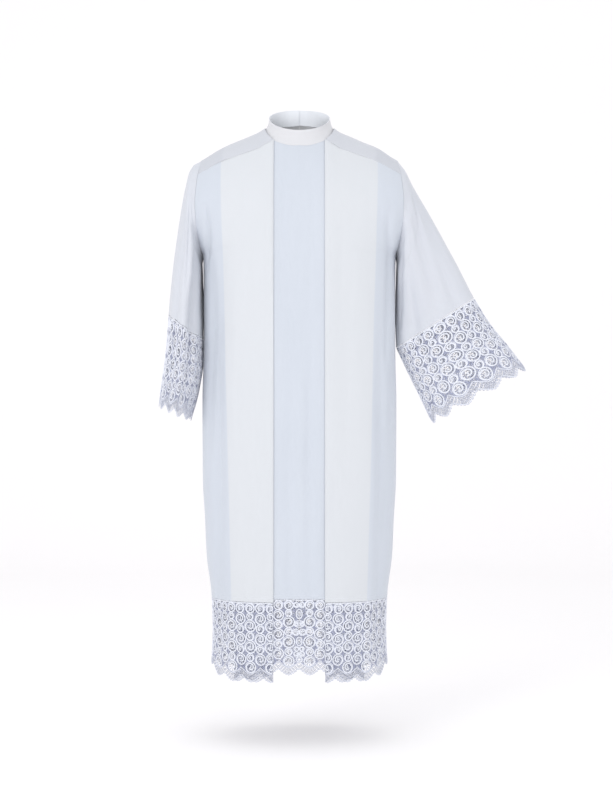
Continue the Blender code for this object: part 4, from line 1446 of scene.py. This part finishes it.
def add_button(collar, material):
    """The collar's button: a round dished disc with four holes, on the lap."""
    rim, base = collar[-1, -1], collar[0, -1]
    up = unit(rim - base)
    outward = unit(np.array([0.0, 1.0, 0.0]) - up * up[1])
    sideways = np.cross(up, outward)
    middle = (rim + base) / 2
    seat = middle - sideways * np.dot(middle, sideways) + outward * BUTTON_SEAT
    profile = (
        (0.00, 0.00), (0.88, 0.00), (0.97, 0.10), (1.00, 0.30), (1.00, 0.72), (0.97, 0.90),
        (0.91, 0.99), (0.84, 0.97), (0.76, 0.80), (0.68, 0.70), (0.40, 0.66), (0.00, 0.66),
    )
    sides = 48
    turn = 2 * np.pi * np.arange(sides) / sides
    spokes = np.cos(turn)[:, None] * up + np.sin(turn)[:, None] * sideways
    rows = [
        seat + spokes * radius * BUTTON_RADIUS + outward * height * BUTTON_THICKNESS
        for radius, height in profile[1:-1]
    ]
    points = np.concatenate(rows + [[seat, seat + outward * profile[-1][1] * BUTTON_THICKNESS]])
    faces = []
    for i in range(len(rows) - 1):
        for k in range(sides):
            a, b = i * sides + k, i * sides + (k + 1) % sides
            faces.append((a, b, b + sides, a + sides))
    bottom, top = len(points) - 2, len(points) - 1
    for k in range(sides):
        a, b = k, (k + 1) % sides
        faces.append((b, a, bottom))
        faces.append((a + (len(rows) - 1) * sides, b + (len(rows) - 1) * sides, top))
    if signed_volume(points, faces) < 0:
        faces = [tuple(reversed(face)) for face in faces]
    button = new_object("button", points, faces, material)
    for k in range(4):
        angle = math.pi / 4 + k * math.pi / 2
        place = seat + (up * math.cos(angle) + sideways * math.sin(angle)) * HOLE_REACH
        bpy.ops.mesh.primitive_cylinder_add(vertices=16, radius=HOLE_RADIUS, depth=0.01, location=place)
        drill = bpy.context.object
        drill.rotation_euler = Vector(outward).to_track_quat("Z", "Y").to_euler()
        cut = button.modifiers.new("hole", "BOOLEAN")
        cut.operation, cut.object = "DIFFERENCE", drill
        bpy.context.view_layer.update()
        graph = bpy.context.evaluated_depsgraph_get()
        mesh = bpy.data.meshes.new_from_object(button.evaluated_get(graph))
        button.modifiers.clear()
        button.data = mesh
        bpy.data.objects.remove(drill, do_unlink=True)
    button.data.set_sharp_from_angle(angle=math.radians(40))
    return button


def claim(piece, node):
    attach(piece, "root")
    if node:
        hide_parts(node)


# The setting


def add_camera():
    """Level, in front of the robe, at the middle of its height."""
    distance, seen_height, middle_x, middle_z = 4.0, 1.932, 0.017, -0.652
    camera = bpy.data.cameras.new("camera")
    camera.sensor_fit = "VERTICAL"
    camera.sensor_height = 36.0
    camera.lens = camera.sensor_height * distance / seen_height
    holder = bpy.data.objects.new("camera", camera)
    holder.location = (middle_x, -distance, middle_z)
    holder.rotation_euler = (math.pi / 2, 0, 0)
    bpy.context.scene.collection.objects.link(holder)
    bpy.context.scene.camera = holder


def add_backdrop():
    """A pale floor that curves up into a pale wall behind the robe."""
    floor_z, near, far, bend, height, half_width = -1.46, -7.0, 5.0, 1.2, 4.5, 7.0
    line = [(near, floor_z), (far - bend, floor_z)]
    for k in range(1, 13):
        angle = math.pi / 2 * k / 12
        line.append((far - bend + bend * math.sin(angle), floor_z + bend * (1 - math.cos(angle))))
    line.append((far, floor_z + height))
    points = [(x, y, z) for x in (-half_width, half_width) for y, z in line]
    count = len(line)
    faces = [(k, count + k, count + k + 1, k + 1) for k in range(count - 1)]
    finish = Finish("backdrop_paper", Roughness=0.95)
    place = finish.node("ShaderNodeTexCoord", output=3)
    cloud = finish.noise(place, 0.8)
    finish.give("Base Color", finish.blend(cloud, (0.955, 0.94, 0.94, 1), (0.985, 0.965, 0.965, 1)))
    new_object("backdrop", points, faces, finish.material)


SKY = (0.97, 0.98, 1.0, 1)
SKY_STRENGTH = 0.95
Lamp = namedtuple("Lamp", "name place size power")
LAMPS = (
    Lamp("key", (-2.4, -3.2, 0.6), 2.4, 52.0),
    Lamp("fill", (2.9, -2.8, -0.2), 2.6, 28.0),
    Lamp("top", (0.0, 0.4, 3.2), 3.0, 15.0),
)


def add_lights():
    world = bpy.data.worlds.new("studio")
    world.use_nodes = True
    sky = world.node_tree.nodes["Background"]
    sky.inputs["Color"].default_value = SKY
    sky.inputs["Strength"].default_value = SKY_STRENGTH
    bpy.context.scene.world = world
    for lamp in LAMPS:
        light = bpy.data.lights.new(lamp.name, "AREA")
        light.shape, light.size, light.energy = "DISK", lamp.size, lamp.power
        holder = bpy.data.objects.new(lamp.name, light)
        holder.location = lamp.place
        aim = Vector((0.0, 0.0, -0.6)) - Vector(lamp.place)
        holder.rotation_euler = aim.to_track_quat("-Z", "Y").to_euler()
        bpy.context.scene.collection.objects.link(holder)
    bpy.context.scene.view_settings.view_transform = "Standard"


# The robe

add_camera()
add_backdrop()
add_lights()

cotton = cloth_finish("body_cotton", BODY_TINT)
# The sleeves' copy of the cotton is painted lighter than the body's: painted light.
sleeve_cotton = cloth_finish("sleeve_cotton", SLEEVE_TINT_PAINTED_LIGHTER)
yoke_cotton = cloth_finish("yoke_cotton", YOKE_TINT)
collar_cotton = cloth_finish("collar_cotton", COLLAR_TINT)
lace_cord = lace_finish()
thread = thread_finish()

columns = half_columns()
repeat = draw_repeat()
repeat_part = repeat.made("lace_repeat")
middle_part = draw_middle().made("lace_middle")
end_part = draw_side_end().made("lace_side_end")
covered = repeat.area / (PITCH * DEPTH)  # the share of the ground that the cords and bars cover
mirrored, all_round, stitched = mirrored_lace_tree(), round_lace_tree(), stitch_tree()

for name, side in (("front", -1), ("back", 1)):
    grid = panel_grid(side, columns)
    cloth = add_cloth(name + "_panel", grid, cotton, turned_rows=2, layers=layers_of(columns, len(grid)))
    claim(cloth, name)
    flat_size(grid)
    area_of(grid)

    surface, length = hem_surface(side, columns)
    lobes = 2 * round(length / LOBE_PITCH / 2)
    lace = add_lace(
        "hem_lace_of_" + name, mirrored, surface, lace_cord, lobes // 2, lobes * LOBE_PITCH, 0.0005, 0.9995,
        Repeat=repeat_part, Middle=middle_part, End=end_part,
    )
    claim(lace, "hem_lace_" + name)
    depth = HEM_SEAM_Z - HEM_Z
    min(covered, 1.0) * length * depth

    seam = add_stitches(name + "_hem_stitches", stitched, [path_on(grid, -3, -1)], thread)
    claim(seam, None)

collar = collar_grid()
for name, sign in (("left", 1), ("right", -1)):
    grid = yoke_grid(sign)
    x = np.abs(grid[..., 0])
    start, end = x - PLEAT_EDGE_X, pleat_depth_x(grid[..., 2]) - x
    # Over the pleat, the yoke takes a little of the painted pale tone.
    over_pleat = YOKE_PALER * ease(start / PALER_BLUR) * ease(end / PALER_BLUR)
    # The yoke's inside is painted pale: painted light against the shade inside the neck.
    yoke = add_cloth("yoke_cloth_" + name, grid, yoke_cotton, layers=over_pleat, painted_light_inside=sign)
    claim(yoke, "yoke_" + name)
    flat_size(grid)
    area_of(grid)
    edges = [path_on(grid, line, -sign) for line in (1, -2)]
    seam = add_stitches("yoke_stitches_" + name, stitched, edges, thread)
    claim(seam, None)

    sleeve = SLEEVES[name]
    grid = sleeve_grid(sleeve)
    cloth = add_cloth("sleeve_cloth_" + name, grid, sleeve_cotton, closed=True, turned_rows=2)
    claim(cloth, "sleeve_" + name)
    flat_size(wrapped(grid))
    area_of(grid, True)

    surface = cuff_surface(sleeve)
    once = (surface[2][0, :, 0] >= 0) & (surface[2][0, :, 0] <= 1)
    tube = surface[0][:, once]
    lobes = round(float(lengths(tube, 1)[-1]) / LOBE_PITCH)
    lace = add_lace(
        "cuff_lace_of_" + name, all_round, surface, lace_cord, lobes, lobes * LOBE_PITCH, -0.12, 1.12,
        Repeat=repeat_part,
    )
    claim(lace, "cuff_lace_" + name)
    flat_size(tube)
    min(covered, 1.0) * area_of(tube)
    seam = add_stitches("cuff_stitches_" + name, stitched, [path_on(wrapped(grid), -2, -sign)], thread)
    claim(seam, None)

# The collar's inside is painted pale: painted light against the shade inside the neck.
band = add_cloth("collar_band", collar, collar_cotton, wall=COLLAR_WALL, painted_light_inside=1)
claim(band, "collar")
flat_size(collar)
area_of(collar)
edges = [path_on(collar, line, 1) for line in (2, -2)]
seam = add_stitches("collar_stitches", stitched, edges, thread)
claim(seam, None)
claim(add_button(collar, button_finish()), "collar_button")

for drawn in (repeat_part, middle_part, end_part, stitch_object()):
    bpy.data.objects.remove(drawn, do_unlink=True)
